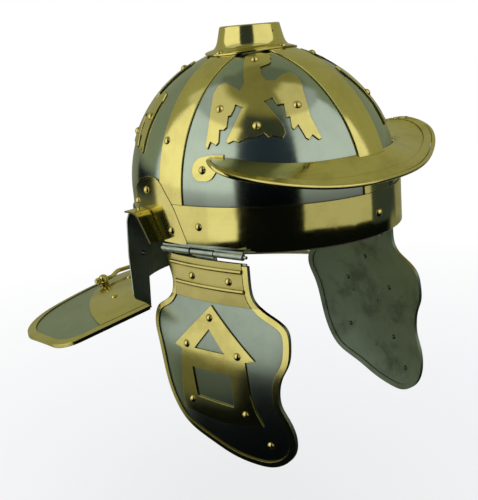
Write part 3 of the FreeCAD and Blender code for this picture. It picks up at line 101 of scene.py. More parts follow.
class Finish:
    """One material and its nodes."""

    def __init__(self, name):
        self.material = bpy.data.materials.new(name)
        self.material.use_nodes = True
        self.tree = self.material.node_tree
        self.tree.nodes.clear()
        self.output = self.tree.nodes.new("ShaderNodeOutputMaterial")

    def add(self, kind, settings=None, inputs=None, output=0):
        """Makes a node. Its settings go in first, then the values or links of its sockets."""
        node = self.tree.nodes.new(kind)
        for name, value in (settings or {}).items():
            if name == "stops":
                self._stops(node, value)
            else:
                setattr(node, name, value)
        for name, value in (inputs or {}).items():
            socket = node.inputs[name]
            if isinstance(value, Wire):
                self.tree.links.new(value.socket, socket)
            else:
                socket.default_value = value
        return Wire(self, node.outputs[output])

    def _stops(self, node, stops):
        ramp = node.color_ramp
        while len(ramp.elements) < len(stops):
            ramp.elements.new(1.0)
        for element, (place, shade) in zip(ramp.elements, stops):
            element.position = place
            element.color = (shade, shade, shade, 1.0)

    def place(self):
        """Position on the piece at rest, in metres."""
        return self.add("ShaderNodeTexCoord", output="Object")

    def way(self):
        """The surface's own outward direction on the piece at rest."""
        return self.add("ShaderNodeTexCoord", output="Normal")

    def parts(self, vector):
        """The three numbers of a vector."""
        first = self.add("ShaderNodeSeparateXYZ", {}, {0: vector})
        return first, first.out("Y"), first.out("Z")

    def stretched(self, vector, scale):
        """A vector scaled along each axis, for a grain that runs one way."""
        return self.add("ShaderNodeVectorMath", {"operation": "MULTIPLY"}, {0: vector, 1: scale})

    def noise(self, vector, scale, detail=4.0, roughness=0.55):
        """A cloudy number between 0 and 1."""
        return self.add("ShaderNodeTexNoise", {}, {"Vector": vector, "Scale": scale, "Detail": detail,
                                                  "Roughness": roughness})

    def ramp(self, value, stops):
        """A number passed through a curve of (place, shade) stops."""
        return self.add("ShaderNodeValToRGB", {"stops": stops}, {0: value})

    def rise(self, value, middle, width):
        """0 below a place, 1 above it, and a smooth step between."""
        return self.add("ShaderNodeMapRange", {"interpolation_type": "SMOOTHSTEP"},
                        {0: value, 1: middle - width / 2, 2: middle + width / 2, 3: 0.0, 4: 1.0})

    # Besides grime, this depth paints shade: the finishes below darken corners and gaps by it.
    def corners(self, reach, sharpness):
        """How deep a point sits in a corner between pieces, from 0 in the open to 1."""
        open_share = self.add("ShaderNodeAmbientOcclusion", {"samples": CORNER_SAMPLES},
                              {"Distance": reach}, "AO")
        return ((1.0 - open_share) * sharpness).least(1.0)

    def rounded(self):
        """The normal with each sharp edge eased, as buffing leaves it."""
        return self.add("ShaderNodeBevel", {"samples": EDGE_SAMPLES}, {"Radius": EDGE_ROUND})

    def blend(self, share, first, second):
        """A colour between two colours."""
        return self.add("ShaderNodeMix", {"data_type": "RGBA"}, {0: share, 6: first, 7: second}, output=2)

    def bump(self, height, strength, depth, normal=None):
        """The normal tilted by a height, on top of another normal if one is given."""
        inputs = {"Height": height, "Strength": strength, "Distance": depth}
        if normal is not None:
            inputs["Normal"] = normal
        return self.add("ShaderNodeBump", {}, inputs)

    def show(self, surface):
        """Sends a shader to the output."""
        self.tree.links.new(surface.socket, self.output.inputs["Surface"])

    def shine(self, inputs):
        """The surface shader itself."""
        self.show(self.add("ShaderNodeBsdfPrincipled", {}, inputs))
        return self.material


print("edges eased by", EDGE_ROUND, "m")

# %% [markdown]
# Polished brass
#
# The straps, band, peak, eagles and edgings are yellow brass sheet, buffed bright by hand. It could be one
# flat golden metal, but buffing leaves more behind: long fine scratches, faint waves from the hammer that
# bend the reflections, and a thin brown tarnish that gathers in cloudy patches. The polish never reaches the
# corner round a rivet or under an edge, so the tarnish is darkest there, and the same corners and gaps are
# also darkened with painted shade, and deeper hollows with a wider painted shade. An ambient occlusion node
# finds those corners by itself, on every piece, with nothing painted by hand.

# %% Brass colours and the way of its scratches
# The darker brass colours are tarnish, and also painted shade where corners, gaps, hollows and rims are
# blended towards them.
BRIGHT_BRASS = (0.79, 0.70, 0.225, 1.0)
# The next colour is brass darkened as painted shade, for the cheek guards' ribbed tops.
SHADED_BRASS = (0.56, 0.495, 0.165, 1.0)
# The lip's colour is painted shade, nearly black.
LIP_SHADE_BRASS = (0.055, 0.058, 0.022, 1.0)
TARNISH_AND_SHADE_BRASS = (0.30, 0.215, 0.035, 1.0)
RIVET_BRIGHT = (0.79, 0.67, 0.22, 1.0)
RIVET_DARK = (0.22, 0.15, 0.035, 1.0)
LENGTHWAYS = (1.0, 1.0, 0.12)
CROSSWAYS = (0.15, 0.15, 1.0)
ANY_WAY = (1.0, 1.0, 1.0)
print("brass colours ready")

# %% Brass grain and tarnish
CLOUD_SCALE = 38.0
CLOUD_DETAIL = 5.0
CLOUD_ROUGHNESS = 0.62
STREAK_SCALE = CLOUD_SCALE * 3
STREAK_ROUGHNESS = 0.6
SCRATCH_SCALE = 900.0
SCRATCH_ROUGHNESS = 0.7
SCRATCH_DEPTH = 0.00012
SCRATCH_STRENGTH = 0.05
HAMMER_SCALE = 26.0
HAMMER_DEPTH = 0.004
WAVE_ROUGHNESS = 0.4
CORNER_REACH = 0.0028
HOLLOW_REACH = 0.012
TARNISH_STOPS = [(0.46, 0.0), (0.60, 0.35), (0.75, 1.0)]
SPECK_STOPS = [(0.70, 0.0), (0.76, 1.0)]
PLAIN_STAIN = 0.45
CLOUD_SHARE = 0.7
STREAK_SHARE = 0.3
SPECK_SHARE = 0.30
GRIME_AND_SHADE_SHARPNESS = 1.7
GRIME_AND_SHADE_SHARE = 0.9
# Painted shade in deeper hollows:
HOLLOW_SHARPNESS = 1.2
HOLLOW_SHADE_SHARE = 0.5
LIP_SHADE_SHARE = 0.94
ROUGH_TARNISH = 0.07
ROUGH_GRIME = 0.15
ROUGH_GRAIN = 0.06
ROUGHEST = 0.6


def brass(name, bright, polish, grain_way, hammer,
          tarnish_and_shade=TARNISH_AND_SHADE_BRASS, stain=PLAIN_STAIN, form=None):
    """Buffed brass sheet, whose scratches run one way."""
    finish = Finish(name)
    place = finish.place()
    clouds = finish.noise(place, CLOUD_SCALE, CLOUD_DETAIL, CLOUD_ROUGHNESS)
    streaks = finish.noise(finish.stretched(place, grain_way), STREAK_SCALE, roughness=STREAK_ROUGHNESS)
    tarnish = finish.ramp(clouds * CLOUD_SHARE + streaks * STREAK_SHARE, TARNISH_STOPS)
    specks = finish.ramp(finish.noise(place, SCRATCH_SCALE / 2, 3.0), SPECK_STOPS)
    grain = finish.noise(finish.stretched(place, grain_way), SCRATCH_SCALE, 3.0, SCRATCH_ROUGHNESS)
    # Corners and gaps darken partly by grime and partly by painted shade.
    grime_and_shade = finish.corners(CORNER_REACH, GRIME_AND_SHADE_SHARPNESS)
    # A wider reach paints shade into deeper hollows, such as under the ear's lip.
    hollow_shade = finish.corners(HOLLOW_REACH, HOLLOW_SHARPNESS)
    shade_and_dirt = grime_and_shade * grime_and_shade * GRIME_AND_SHADE_SHARE
    shade = tarnish * stain + specks * SPECK_SHARE + shade_and_dirt + hollow_shade * hollow_shade * HOLLOW_SHADE_SHARE
    colour = finish.blend(shade.least(1.0), bright, tarnish_and_shade)
    # The lip's flank and underside are painted nearly black as shade.
    if form == "lip":
        colour = finish.blend(lip_shade_mask(finish, place) * LIP_SHADE_SHARE, colour, LIP_SHADE_BRASS)
    roughness = tarnish * ROUGH_TARNISH + grime_and_shade * ROUGH_GRIME + grain * ROUGH_GRAIN + polish
    roughness = roughness.least(ROUGHEST)
    waves = finish.noise(place, HAMMER_SCALE, 2.0, WAVE_ROUGHNESS)
    normal = finish.bump(waves, hammer, HAMMER_DEPTH, finish.rounded())
    if form == "turned in":
        normal = finish.bump(lower_edge(finish, place), 1.0, 1.0, normal)
    normal = finish.bump(grain, SCRATCH_STRENGTH, SCRATCH_DEPTH, normal)
    return finish.shine({"Base Color": colour, "Metallic": 1.0, "Roughness": roughness, "Normal": normal})


print("tarnish clouds about", round(1000 / CLOUD_SCALE), "mm wide")

# %% [markdown]
# A turned edge and a painted shade
#
# The band's lower edge was hammered in a little, so its reflections run off to the floor there. That is a
# fall of a millimetre over the last few, too little to need new geometry, and a height for the bump node
# says it well. The lip over each ear stands off the bowl, and its flank and underside are painted nearly
# black as shade.

# %% Turned edge and the lip's painted shade
TURN_LEVEL = -0.0170
TURN_DEPTH = 0.0140
TURN_SLOPE = 0.18
WAVER_SCALE = 30.0
WAVER = 0.004
LIP_START = 0.1035
LIP_BLEND = 0.003
LIP_SLOPE = 0.62
LIP_SLOPE_BLEND = 0.35


def lower_edge(finish, place):
    """How far the band's face falls back towards its lower edge, in metres."""
    z = finish.parts(place)[2]
    waver = finish.noise(place, WAVER_SCALE, 2.0) * WAVER
    below = (waver - WAVER / 2 + TURN_LEVEL - z).most(0.0)
    return below * below * (-TURN_SLOPE / (2.0 * TURN_DEPTH))


def lip_shade_mask(finish, place):
    """1 on the flank and underside of an ear's lip, where shade is painted, and 0 elsewhere."""
    x = finish.parts(place)[0]
    nz = finish.parts(finish.way())[2]
    aside = finish.add("ShaderNodeMath", {"operation": "ABSOLUTE"}, {0: x})
    outside = finish.rise(aside, LIP_START, LIP_BLEND)
    return outside * (1.0 - finish.rise(nz, LIP_SLOPE, LIP_SLOPE_BLEND))


print("the band turns in below", TURN_LEVEL, "m")

# %% Brass finishes
brass_upright = brass("brass_upright", BRIGHT_BRASS, polish=0.09, grain_way=LENGTHWAYS, hammer=0.08)
brass_level = brass("brass_level", BRIGHT_BRASS, polish=0.09, grain_way=CROSSWAYS, hammer=0.08)
brass_band = brass("brass_band", BRIGHT_BRASS, polish=0.07, grain_way=CROSSWAYS, hammer=0.10,
                   form="turned in")
brass_ear = brass("brass_ear", BRIGHT_BRASS, polish=0.10, grain_way=LENGTHWAYS, hammer=0.08, form="lip")
brass_stained = brass("brass_stained", BRIGHT_BRASS, polish=0.10, grain_way=CROSSWAYS, hammer=0.10,
                      stain=0.8)
# The cheek tops' brass is darkened as painted shade.
brass_ribbed_shaded = brass("brass_ribbed_shaded", SHADED_BRASS, polish=0.13, grain_way=CROSSWAYS, hammer=0.08)
brass_rivet = brass("brass_rivet", RIVET_BRIGHT, polish=0.13, grain_way=ANY_WAY, hammer=0.0,
                    tarnish_and_shade=RIVET_DARK)
print("brass finishes:", brass_upright.name, brass_level.name, brass_rivet.name)

# %% [markdown]
# Steel, polished outside and stained inside
#
# The bowl, the neck guard and the cheek plates are steel. Outside it is buffed to a satin grey that mirrors
# the room softly, with fine lines, faint clouds and small pits. Inside nobody polished it: it is a dark
# grey-green with brown stains. One material can do both, because the sheet's own direction says which face
# is which: on the bowl it points away from the middle outside and towards it inside.

# %% Steel colours, stains and painted shade
STEEL_OUTSIDE = (0.44, 0.52, 0.405, 1.0)
STEEL_CLOUDED = (0.35, 0.425, 0.33, 1.0)
CHEEK_OUTSIDE = (0.36, 0.43, 0.335, 1.0)
CHEEK_CLOUDED = (0.27, 0.33, 0.25, 1.0)
# The pit colour also serves as painted shade in corners and gaps.
STEEL_PIT_AND_SHADE = (0.12, 0.13, 0.11, 1.0)
# The unpolished inside is one steel at two levels: the darker is painted shade, for the bowl, neck and
# shelf, and the paler is painted light, for the cheeks and behind their edging.
INSIDE_SHADED = (0.16, 0.20, 0.15, 1.0)
INSIDE_LIT = (0.27, 0.335, 0.235, 1.0)
STEEL_STAIN = (0.060, 0.070, 0.045, 1.0)
STAIN_SCALE = 30.0
STAIN_STOPS = [(0.50, 0.0), (0.66, 0.75), (0.80, 1.0)]
SPOT_SCALE = 170.0
SPOT_STOPS = [(0.68, 0.0), (0.74, 1.0)]
WIDE_SCALE = 13.0
WIDE_STOPS = [(0.40, 0.0), (0.62, 1.0)]
# Painted shade on the bowl just above the brow band:
BROW_SHADE_TOP = 0.0075
BROW_SHADE_FADE = 0.0150
BROW_SHADE_FOOT = -0.003
BROW_SHADE_FOOT_FADE = 0.002
STAIN_SHARE = 0.6
SPOT_SHARE = 0.5
WIDE_SHARE = 0.25
INSIDE_CLOUD_ROUGHNESS = 0.65
INSIDE_ROUGH = 0.36
INSIDE_ROUGH_CLOUD = 0.2


def stained_inside(finish, place, skin):
    """Colour and roughness of steel that was never polished."""
    clouds = finish.noise(place, STAIN_SCALE, CLOUD_DETAIL, INSIDE_CLOUD_ROUGHNESS)
    stains = finish.ramp(clouds, STAIN_STOPS)
    spots = finish.ramp(finish.noise(place, SPOT_SCALE, 3.0), SPOT_STOPS)
    wide = finish.ramp(finish.noise(place, WIDE_SCALE, 3.0), WIDE_STOPS)
    share = stains * STAIN_SHARE + spots * SPOT_SHARE + wide * WIDE_SHARE
    colour = finish.blend(share.least(1.0), skin, STEEL_STAIN)
    return colour, clouds * INSIDE_ROUGH_CLOUD + INSIDE_ROUGH


def brow_shade(finish, z):
    """Painted shade on the bowl just above the brow band: 1 against the band, fading out above."""
    above = 1.0 - finish.rise(z, BROW_SHADE_TOP, BROW_SHADE_FADE)
    return above * finish.rise(z, BROW_SHADE_FOOT, BROW_SHADE_FOOT_FADE)


print("dirt reaches", BROW_SHADE_TOP + BROW_SHADE_FADE / 2, "m above the band")

# %% Steel
FACE_SHARPNESS = 400.0
FACE_STOPS = [(0.0, 0.0), (1.0, 1.0)]
STEEL_CLOUD_SCALE = 22.0
STEEL_CLOUD_STOPS = [(0.42, 0.0), (0.75, 1.0)]
PATCH_SCALE = 14.0
PATCH_STOPS = [(0.50, 0.0), (0.62, 1.0)]
PIT_SCALE = 900.0
PIT_STOPS = [(0.66, 0.0), (0.71, 1.0)]
STEEL_WAVE_SCALE = 17.0
STEEL_WAVE_STRENGTH = 0.06
STEEL_GRIME_AND_SHADE_SHARPNESS = 1.5
STEEL_GRIME_AND_SHADE_SHARE = 0.8
CLOUDED_SHARE = 0.8
PIT_SHARE = 0.55
PIT_DEPTH_SHARE = 0.6
BROW_SHADE_SHARE = 0.62
STEEL_ROUGH_CLOUD = 0.05
STEEL_ROUGH_GRAIN = 0.07
STEEL_ROUGH_GRIME = 0.10


def good_face(finish, place, outward):
    """1 on the polished face of the sheet and 0 on the other, by the way that the surface points."""
    x, y, z = finish.parts(place)
    nx, ny, nz = finish.parts(finish.way())
    if outward == "middle":
        facing = nx * x + ny * y + nz * z.most(0.0)
    elif outward == "side":
        facing = nx * x
    else:
        facing = nz * 0.1
    return finish.ramp(facing * FACE_SHARPNESS + 0.5, FACE_STOPS)


def steel(name, outward, polish, skin, fresh=STEEL_OUTSIDE, dulled=STEEL_CLOUDED):
    """outward picks the way that a good face points: from the middle, sideways, or up."""
    finish = Finish(name)
    place = finish.place()
    good = good_face(finish, place, outward)
    clouds = finish.noise(place, STEEL_CLOUD_SCALE, CLOUD_DETAIL, 0.6)
    clouded = finish.ramp(clouds, STEEL_CLOUD_STOPS)
    grain = finish.noise(finish.stretched(place, CROSSWAYS), SCRATCH_SCALE, 3.0, SCRATCH_ROUGHNESS)
    patches = finish.ramp(finish.noise(place, PATCH_SCALE, 2.0), PATCH_STOPS)
    pits = patches * finish.ramp(finish.noise(place, PIT_SCALE, 2.0), PIT_STOPS)
    # Corners and gaps darken partly by grime and partly by painted shade; the pits are real.
    grime_and_shade = finish.corners(CORNER_REACH, STEEL_GRIME_AND_SHADE_SHARPNESS)
    fair = finish.blend(clouded * CLOUDED_SHARE, fresh, dulled)
    shade_and_dirt = pits * PIT_SHARE + grime_and_shade * grime_and_shade * STEEL_GRIME_AND_SHADE_SHARE
    if outward == "middle":
        # The bowl gets painted shade just above the brow band.
        shade_and_dirt = shade_and_dirt + brow_shade(finish, finish.parts(place)[2]) * BROW_SHADE_SHARE
    pitted_and_shaded = finish.blend(shade_and_dirt.least(1.0), fair, STEEL_PIT_AND_SHADE)
    inside, rough_inside = stained_inside(finish, place, skin)
    colour = finish.blend(good, inside, pitted_and_shaded)
    rough_outside = (clouded * STEEL_ROUGH_CLOUD + grain * STEEL_ROUGH_GRAIN
                     + grime_and_shade * STEEL_ROUGH_GRIME + polish)
    roughness = good * rough_outside + (1.0 - good) * rough_inside
    waves = finish.noise(place, STEEL_WAVE_SCALE, 2.0, WAVE_ROUGHNESS)
    wavy = finish.bump(waves, STEEL_WAVE_STRENGTH, HAMMER_DEPTH, finish.rounded())
    normal = finish.bump(grain - pits * PIT_DEPTH_SHARE, SCRATCH_STRENGTH, SCRATCH_DEPTH, wavy)
    return finish.shine({"Base Color": colour, "Metallic": 1.0, "Roughness": roughness, "Normal": normal})


steel_bowl = steel("steel_bowl", "middle", polish=0.09, skin=INSIDE_SHADED)
steel_cheek = steel("steel_cheek", "side", polish=0.17, skin=INSIDE_LIT, fresh=CHEEK_OUTSIDE,
                    dulled=CHEEK_CLOUDED)
steel_shelf = steel("steel_shelf", "up", polish=0.24, skin=INSIDE_SHADED)
print("steel finishes:", steel_bowl.name, steel_cheek.name, steel_shelf.name)

# %% [markdown]
# Brass that turns to steel inside
#
# The edging folds round the cheek plate, and the rivets go right through it. From the front both are buffed
# brass. From behind they have the same dark skin as the plate, so the switch between the two finishes again
# follows the surface's own direction. The rim of the fold still counts as front.

# %% Edging and cheek rivets
FRONT_LIMIT = -0.10
FRONT_BLEND = 0.1
# Where the rim gets painted shade:
RIM_LIMIT = 0.45
RIM_BLEND = 0.5
RIM_SHADE_SHARE = 0.85


def brass_outside(name, bright, tarnish_and_shade, polish):
    """Brass seen from the guard's outer side, with painted shade at its rim, and stained steel seen from
    inside.
    """
    finish = Finish(name)
    place = finish.place()
    side = finish.add("ShaderNodeMath", {"operation": "SIGN"}, {0: finish.parts(place)[0]})
    sideways = finish.parts(finish.way())[0] * side
    front = finish.rise(sideways, FRONT_LIMIT, FRONT_BLEND)
    # The rim, which faces away from the side, is darkened as painted shade.
    rim = 1.0 - finish.rise(sideways, RIM_LIMIT, RIM_BLEND)
    clouds = finish.noise(place, CLOUD_SCALE, CLOUD_DETAIL, CLOUD_ROUGHNESS)
    tarnish = finish.ramp(clouds, TARNISH_STOPS)
    # Corners and gaps darken partly by grime and partly by painted shade.
    grime_and_shade = finish.corners(CORNER_REACH, GRIME_AND_SHADE_SHARPNESS)
    grain = finish.noise(place, SCRATCH_SCALE, 3.0, SCRATCH_ROUGHNESS)
    shade = (tarnish * PLAIN_STAIN + grime_and_shade * grime_and_shade * GRIME_AND_SHADE_SHARE + rim * RIM_SHADE_SHARE).least(1.0)
    shown = finish.blend(shade, bright, tarnish_and_shade)
    inside, rough_inside = stained_inside(finish, place, INSIDE_LIT)
    colour = finish.blend(front, inside, shown)
    rough_front = tarnish * ROUGH_TARNISH + grime_and_shade * ROUGH_GRIME + grain * ROUGH_GRAIN + polish
    roughness = front * rough_front + (1.0 - front) * rough_inside
    normal = finish.bump(grain, SCRATCH_STRENGTH, SCRATCH_DEPTH, finish.rounded())
    return finish.shine({"Base Color": colour, "Metallic": 1.0, "Roughness": roughness, "Normal": normal})


brass_edging = brass_outside("brass_edging", BRIGHT_BRASS, TARNISH_AND_SHADE_BRASS, polish=0.12)
brass_through = brass_outside("brass_through", RIVET_BRIGHT, RIVET_DARK, polish=0.14)
print("two-sided finishes:", brass_edging.name, brass_through.name)

# %% [markdown]
# Hinge steel, leather and thread
#
# The hinges and two small rivets are bare steel with a satin face. A leather pad lines the brow, sewn with
# waxed thread. Leather needs pores and creases: Voronoi cells give the pebbled skin, and a wide noise breaks
# their colour up.

# %% Hinge steel
HINGE_STEEL = (0.43, 0.49, 0.39, 1.0)
HINGE_CLOUDED = (0.28, 0.32, 0.26, 1.0)
HINGE_CLOUD_SCALE = 120.0
HINGE_CLOUD_STOPS = [(0.40, 0.0), (0.70, 1.0)]
HINGE_GRAIN_STRENGTH = 0.08
HINGE_GRAIN_DEPTH = 0.0001
HINGE_ROUGH = 0.27
HINGE_ROUGH_GRAIN = 0.12
HINGE_ROUGH_GRIME = 0.15


def satin_steel():
    finish = Finish("satin_steel")
    place = finish.place()
    grain = finish.noise(place, SCRATCH_SCALE, 3.0)
    clouds = finish.ramp(finish.noise(place, HINGE_CLOUD_SCALE), HINGE_CLOUD_STOPS)
    # The hinge's corners and gaps darken partly by grime and partly by painted shade.
    grime_and_shade = finish.corners(CORNER_REACH, STEEL_GRIME_AND_SHADE_SHARPNESS)
    fair = finish.blend(clouds, HINGE_STEEL, HINGE_CLOUDED)
    colour = finish.blend(grime_and_shade * grime_and_shade, fair, STEEL_PIT_AND_SHADE)
    normal = finish.bump(grain, HINGE_GRAIN_STRENGTH, HINGE_GRAIN_DEPTH, finish.rounded())
    roughness = grain * HINGE_ROUGH_GRAIN + grime_and_shade * HINGE_ROUGH_GRIME + HINGE_ROUGH
    return finish.shine({"Base Color": colour, "Metallic": 1.0, "Roughness": roughness, "Normal": normal})


pin_steel = satin_steel()
print("hinge finish:", pin_steel.name)

# %% Leather and thread
LEATHER_DARK = (0.030, 0.019, 0.012, 1.0)
LEATHER_WORN = (0.085, 0.052, 0.030, 1.0)
LEATHER_CLOUD_SCALE = 45.0
PORE_SCALE = 700.0
PORE_STRENGTH = 0.5
PORE_DEPTH = 0.0004
THREAD_DARK = (0.20, 0.14, 0.075, 1.0)
THREAD_PALE = (0.34, 0.25, 0.15, 1.0)
TWIST_SCALE = 1500.0
TWIST_STRENGTH = 0.4
TWIST_DEPTH = 0.0002
SOFT_ROUGH = 0.55
LEATHER_ROUGH_CLOUD = 0.25
THREAD_ROUGH_TWIST = 0.2


def dark_leather():
    finish = Finish("dark_leather")
    place = finish.place()
    cells = finish.add("ShaderNodeTexVoronoi", {}, {"Vector": place, "Scale": PORE_SCALE})
    wide = finish.noise(place, LEATHER_CLOUD_SCALE, CLOUD_DETAIL)
    colour = finish.blend(wide, LEATHER_DARK, LEATHER_WORN)
    normal = finish.bump(cells, PORE_STRENGTH, PORE_DEPTH)
    roughness = wide * LEATHER_ROUGH_CLOUD + SOFT_ROUGH
    return finish.shine({"Base Color": colour, "Roughness": roughness, "Normal": normal})


def waxed_thread():
    finish = Finish("waxed_thread")
    twist = finish.noise(finish.place(), TWIST_SCALE, 2.0)
    colour = finish.blend(twist, THREAD_DARK, THREAD_PALE)
    normal = finish.bump(twist, TWIST_STRENGTH, TWIST_DEPTH)
    roughness = twist * THREAD_ROUGH_TWIST + SOFT_ROUGH
    return finish.shine({"Base Color": colour, "Roughness": roughness, "Normal": normal})


leather = dark_leather()
thread = waxed_thread()
print("pad finishes:", leather.name, thread.name)

# %% [markdown]
# Dressing the solids
#
# Each solid takes one finish. Straps and uprights have scratches that run up and down, because they were
# buffed along their length, and the band, the peak and the neck's brass have them running round.

# %% Dress
FINISHES = {
    "bowl": steel_bowl, "neck_wall": steel_bowl, "neck_shelf": steel_shelf,
    "cheek_plate_right": steel_cheek, "cheek_plate_left": steel_cheek,
    "cheek_edging_right": brass_edging, "cheek_edging_left": brass_edging,
    "cheek_rivets_right": brass_through, "cheek_rivets_left": brass_through,
    "brow_band": brass_band, "brow_peak": brass_stained,
    "cheek_top_right": brass_ribbed_shaded, "cheek_top_left": brass_ribbed_shaded,
    "temple_front_right": brass_stained, "temple_front_left": brass_stained,
    "ear_guard_right": brass_ear, "ear_guard_left": brass_ear,
    "brow_liner": leather, "wing_rivets": pin_steel,
}
STEEL_HINGE = ("hinge_pin_", "hinge_leaf_", "cheek_hinge_leaf_")
ROUND_AND_LEVEL = ("peak_bead", "neck_plate", "neck_edging", "carry_handle")


def finish_of(label):
    """The finish of a solid, by its name."""
    if label in FINISHES:
        return FINISHES[label]
    if label.startswith(STEEL_HINGE):
        return pin_steel
    if label.endswith("rivets"):
        return brass_rivet
    return brass_level if label in ROUND_AND_LEVEL else brass_upright


for label, item in nodes.items():
    item.data.materials.clear()
    item.data.materials.append(finish_of(label))
print("dressed:", len(nodes))

# %% A piece of the scene's own
SHARP_ANGLE = math.radians(50.0)


def own_mesh(name, corners, faces, material):
    """A new smooth piece that rides on the helmet."""
    mesh = bpy.data.meshes.new(name)
    mesh.from_pydata(corners, [], faces)
    mesh.validate()
    mesh.materials.append(material)
    mesh.shade_smooth()
    mesh.set_sharp_from_angle(angle=SHARP_ANGLE)
    piece = bpy.data.objects.new(name, mesh)
    bpy.context.scene.collection.objects.link(piece)
    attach(piece, "helmet")
    return piece


print("edges stay sharp over", round(math.degrees(SHARP_ANGLE)), "degrees")

# %% [markdown]
# The spun crest holder
#
# The crest holder was spun on a lathe: its wall leans in as it rises, its foot flares out in one smooth
# curve, and its top edge is rolled over to the inside. A curve with a screw modifier could turn such a
# profile, but the flange isn't round: it is bent down to the oval crown. So the profile is turned by hand, a
# ring at a time, and each ring near the flange is laid on the crown.

# %% Crown under the holder
# A face of the crown: its top, and how fast it falls off to the sides and lengthways.
CROWN_FACE = (0.11028, 5.73, 4.07)
CROWN_UNDER = (0.10918, 5.79, 4.11)
FLANGE_RADIUS = 0.0362


def crown_level(face, x, y):
    """The height of the crown under the flange."""
    top, side_fall, length_fall = face
    return top - side_fall * x * x - length_fall * y * y


side_drop = CROWN_FACE[0] - crown_level(CROWN_FACE, FLANGE_RADIUS, 0.0)
print("the crown falls", round(1000 * side_drop, 1), "mm to the flange's sides")

# %% Crest holder's profile
FLANGE_CREASE = 0.0003
FLANGE_ROOT = 0.0353
FLANGE_UNDER_ROOT = 0.0345
HOLDER_WALL = 0.0012
SHOULDER_LEVEL = 0.1211
SHOULDER_RADIUS = 0.0239
SHOULDER_ROUND = 0.0018
ROLL_TURN = math.radians(84.0)
ROLL_RINGS = 8
WALL_LEAN = 0.24
WALL_DROP = 0.0176
WALL_RINGS = 40
FOOT_DROP = 0.0160
FOOT_SPREAD = 0.00326
FOOT_POWER = 7


def roll_ring(turn, round_radius, face):
    """A ring on the rolled edge, whose middle lies inside the shoulder."""
    middle = SHOULDER_RADIUS - SHOULDER_ROUND
    return middle + round_radius * math.cos(turn), SHOULDER_LEVEL + round_radius * math.sin(turn), face


def wall_ring(drop):
    """Radius and level of the wall's outside at a drop below the shoulder."""
    flare = FOOT_SPREAD * (drop / FOOT_DROP) ** FOOT_POWER
    return SHOULDER_RADIUS + WALL_LEAN * drop + flare, SHOULDER_LEVEL - drop


def holder_profile():
    """Rings of the holder as (radius, level, the crown's face that it can't go below)."""
    turns = [ROLL_TURN * index / ROLL_RINGS for index in range(ROLL_RINGS + 1)]
    wall = [wall_ring(WALL_DROP * index / WALL_RINGS) for index in range(1, WALL_RINGS + 1)]
    crease = FLANGE_RADIUS - FLANGE_CREASE
    rings = [roll_ring(turn, SHOULDER_ROUND, CROWN_FACE) for turn in reversed(turns)]
    rings += [(radius, level, CROWN_FACE) for radius, level in wall]
    rings += [(radius, 0.0, CROWN_FACE) for radius in (FLANGE_ROOT, crease, FLANGE_RADIUS)]
    rings += [(radius, 0.0, CROWN_UNDER) for radius in (FLANGE_RADIUS, crease, FLANGE_UNDER_ROOT)]
    rings += [(radius - HOLDER_WALL, level, CROWN_UNDER) for radius, level in reversed(wall)]
    rings += [roll_ring(turn, SHOULDER_ROUND - HOLDER_WALL, CROWN_UNDER) for turn in turns]
    return rings


print("crest holder's profile:", len(holder_profile()), "rings")

# %% Crest holder
HOLDER_STEPS = 144
PIN_LEVEL = 0.1165
PIN_RADIUS = 0.0009
DRILL_SIDES = 32
BORED_SHARP_ANGLE = math.radians(40.0)


def turned_holder():
    """The profile's rings, each laid on the crown where that is higher, and joined into one closed skin."""
    rings = holder_profile()
    corners = []
    for radius, level, face in rings:
        for step in range(HOLDER_STEPS):
            turn = 2 * math.pi * step / HOLDER_STEPS
            x = radius * math.cos(turn)
            y = radius * math.sin(turn)
            corners.append(Vector((x, y, max(level, crown_level(face, x, y)))))
    faces = []
    for ring in range(len(rings)):
        for step in range(HOLDER_STEPS):
            here = ring * HOLDER_STEPS + step
            beside = ring * HOLDER_STEPS + (step + 1) % HOLDER_STEPS
            jump = HOLDER_STEPS if ring + 1 < len(rings) else -ring * HOLDER_STEPS
            faces.append((here, here + jump, beside + jump, beside))
    return own_mesh("crest_holder_spun", corners, faces, brass_upright)


def pin_drill():
    """A thin rod through the front of the holder's wall, where the crest's pin goes."""
    mesh = bpy.data.meshes.new("pin_drill")
    shape = bmesh.new()
    middle = Matrix.Translation((0.0, -SHOULDER_RADIUS, PIN_LEVEL))
    bmesh.ops.create_cone(shape, cap_ends=True, segments=DRILL_SIDES, radius1=PIN_RADIUS,
                          radius2=PIN_RADIUS, depth=SHOULDER_RADIUS,
                          matrix=middle @ Matrix.Rotation(math.pi / 2, 4, "X"))
    shape.to_mesh(mesh)
    shape.free()
    drill = bpy.data.objects.new("pin_drill", mesh)
    bpy.context.scene.collection.objects.link(drill)
    return drill


def bore_pin_hole(holder):
    """Cuts the drill out of the wall and keeps the result as the holder's mesh."""
    drill = pin_drill()
    cut = holder.modifiers.new("pin_hole", "BOOLEAN")
    cut.operation = "DIFFERENCE"
    cut.solver = "EXACT"
    cut.object = drill
    whole = bpy.context.evaluated_depsgraph_get()
    bored = bpy.data.meshes.new_from_object(holder.evaluated_get(whole), depsgraph=whole)
    holder.modifiers.clear()
    holder.data = bored
    bored.shade_smooth()
    bored.set_sharp_from_angle(angle=BORED_SHARP_ANGLE)
    bpy.data.objects.remove(drill)


holder = turned_holder()
bore_pin_hole(holder)
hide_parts("crest_holder")
print("crest holder:", len(holder.data.vertices), "points")

# %% [markdown]
# The brow pad
#
# A leather pad lines the brow, so that the steel doesn't rest on skin. Its plain solid is only a bent strip.
# The real one is stuffed a little and sewn through, so it swells between its seams and thins out at its
# edges, and a line of stitches runs along both. A modifier could puff up a flat strip, but the swelling is
# regular, so the surface is written down directly: a closed loop of points across the pad, carried round the
# oval of the brow.

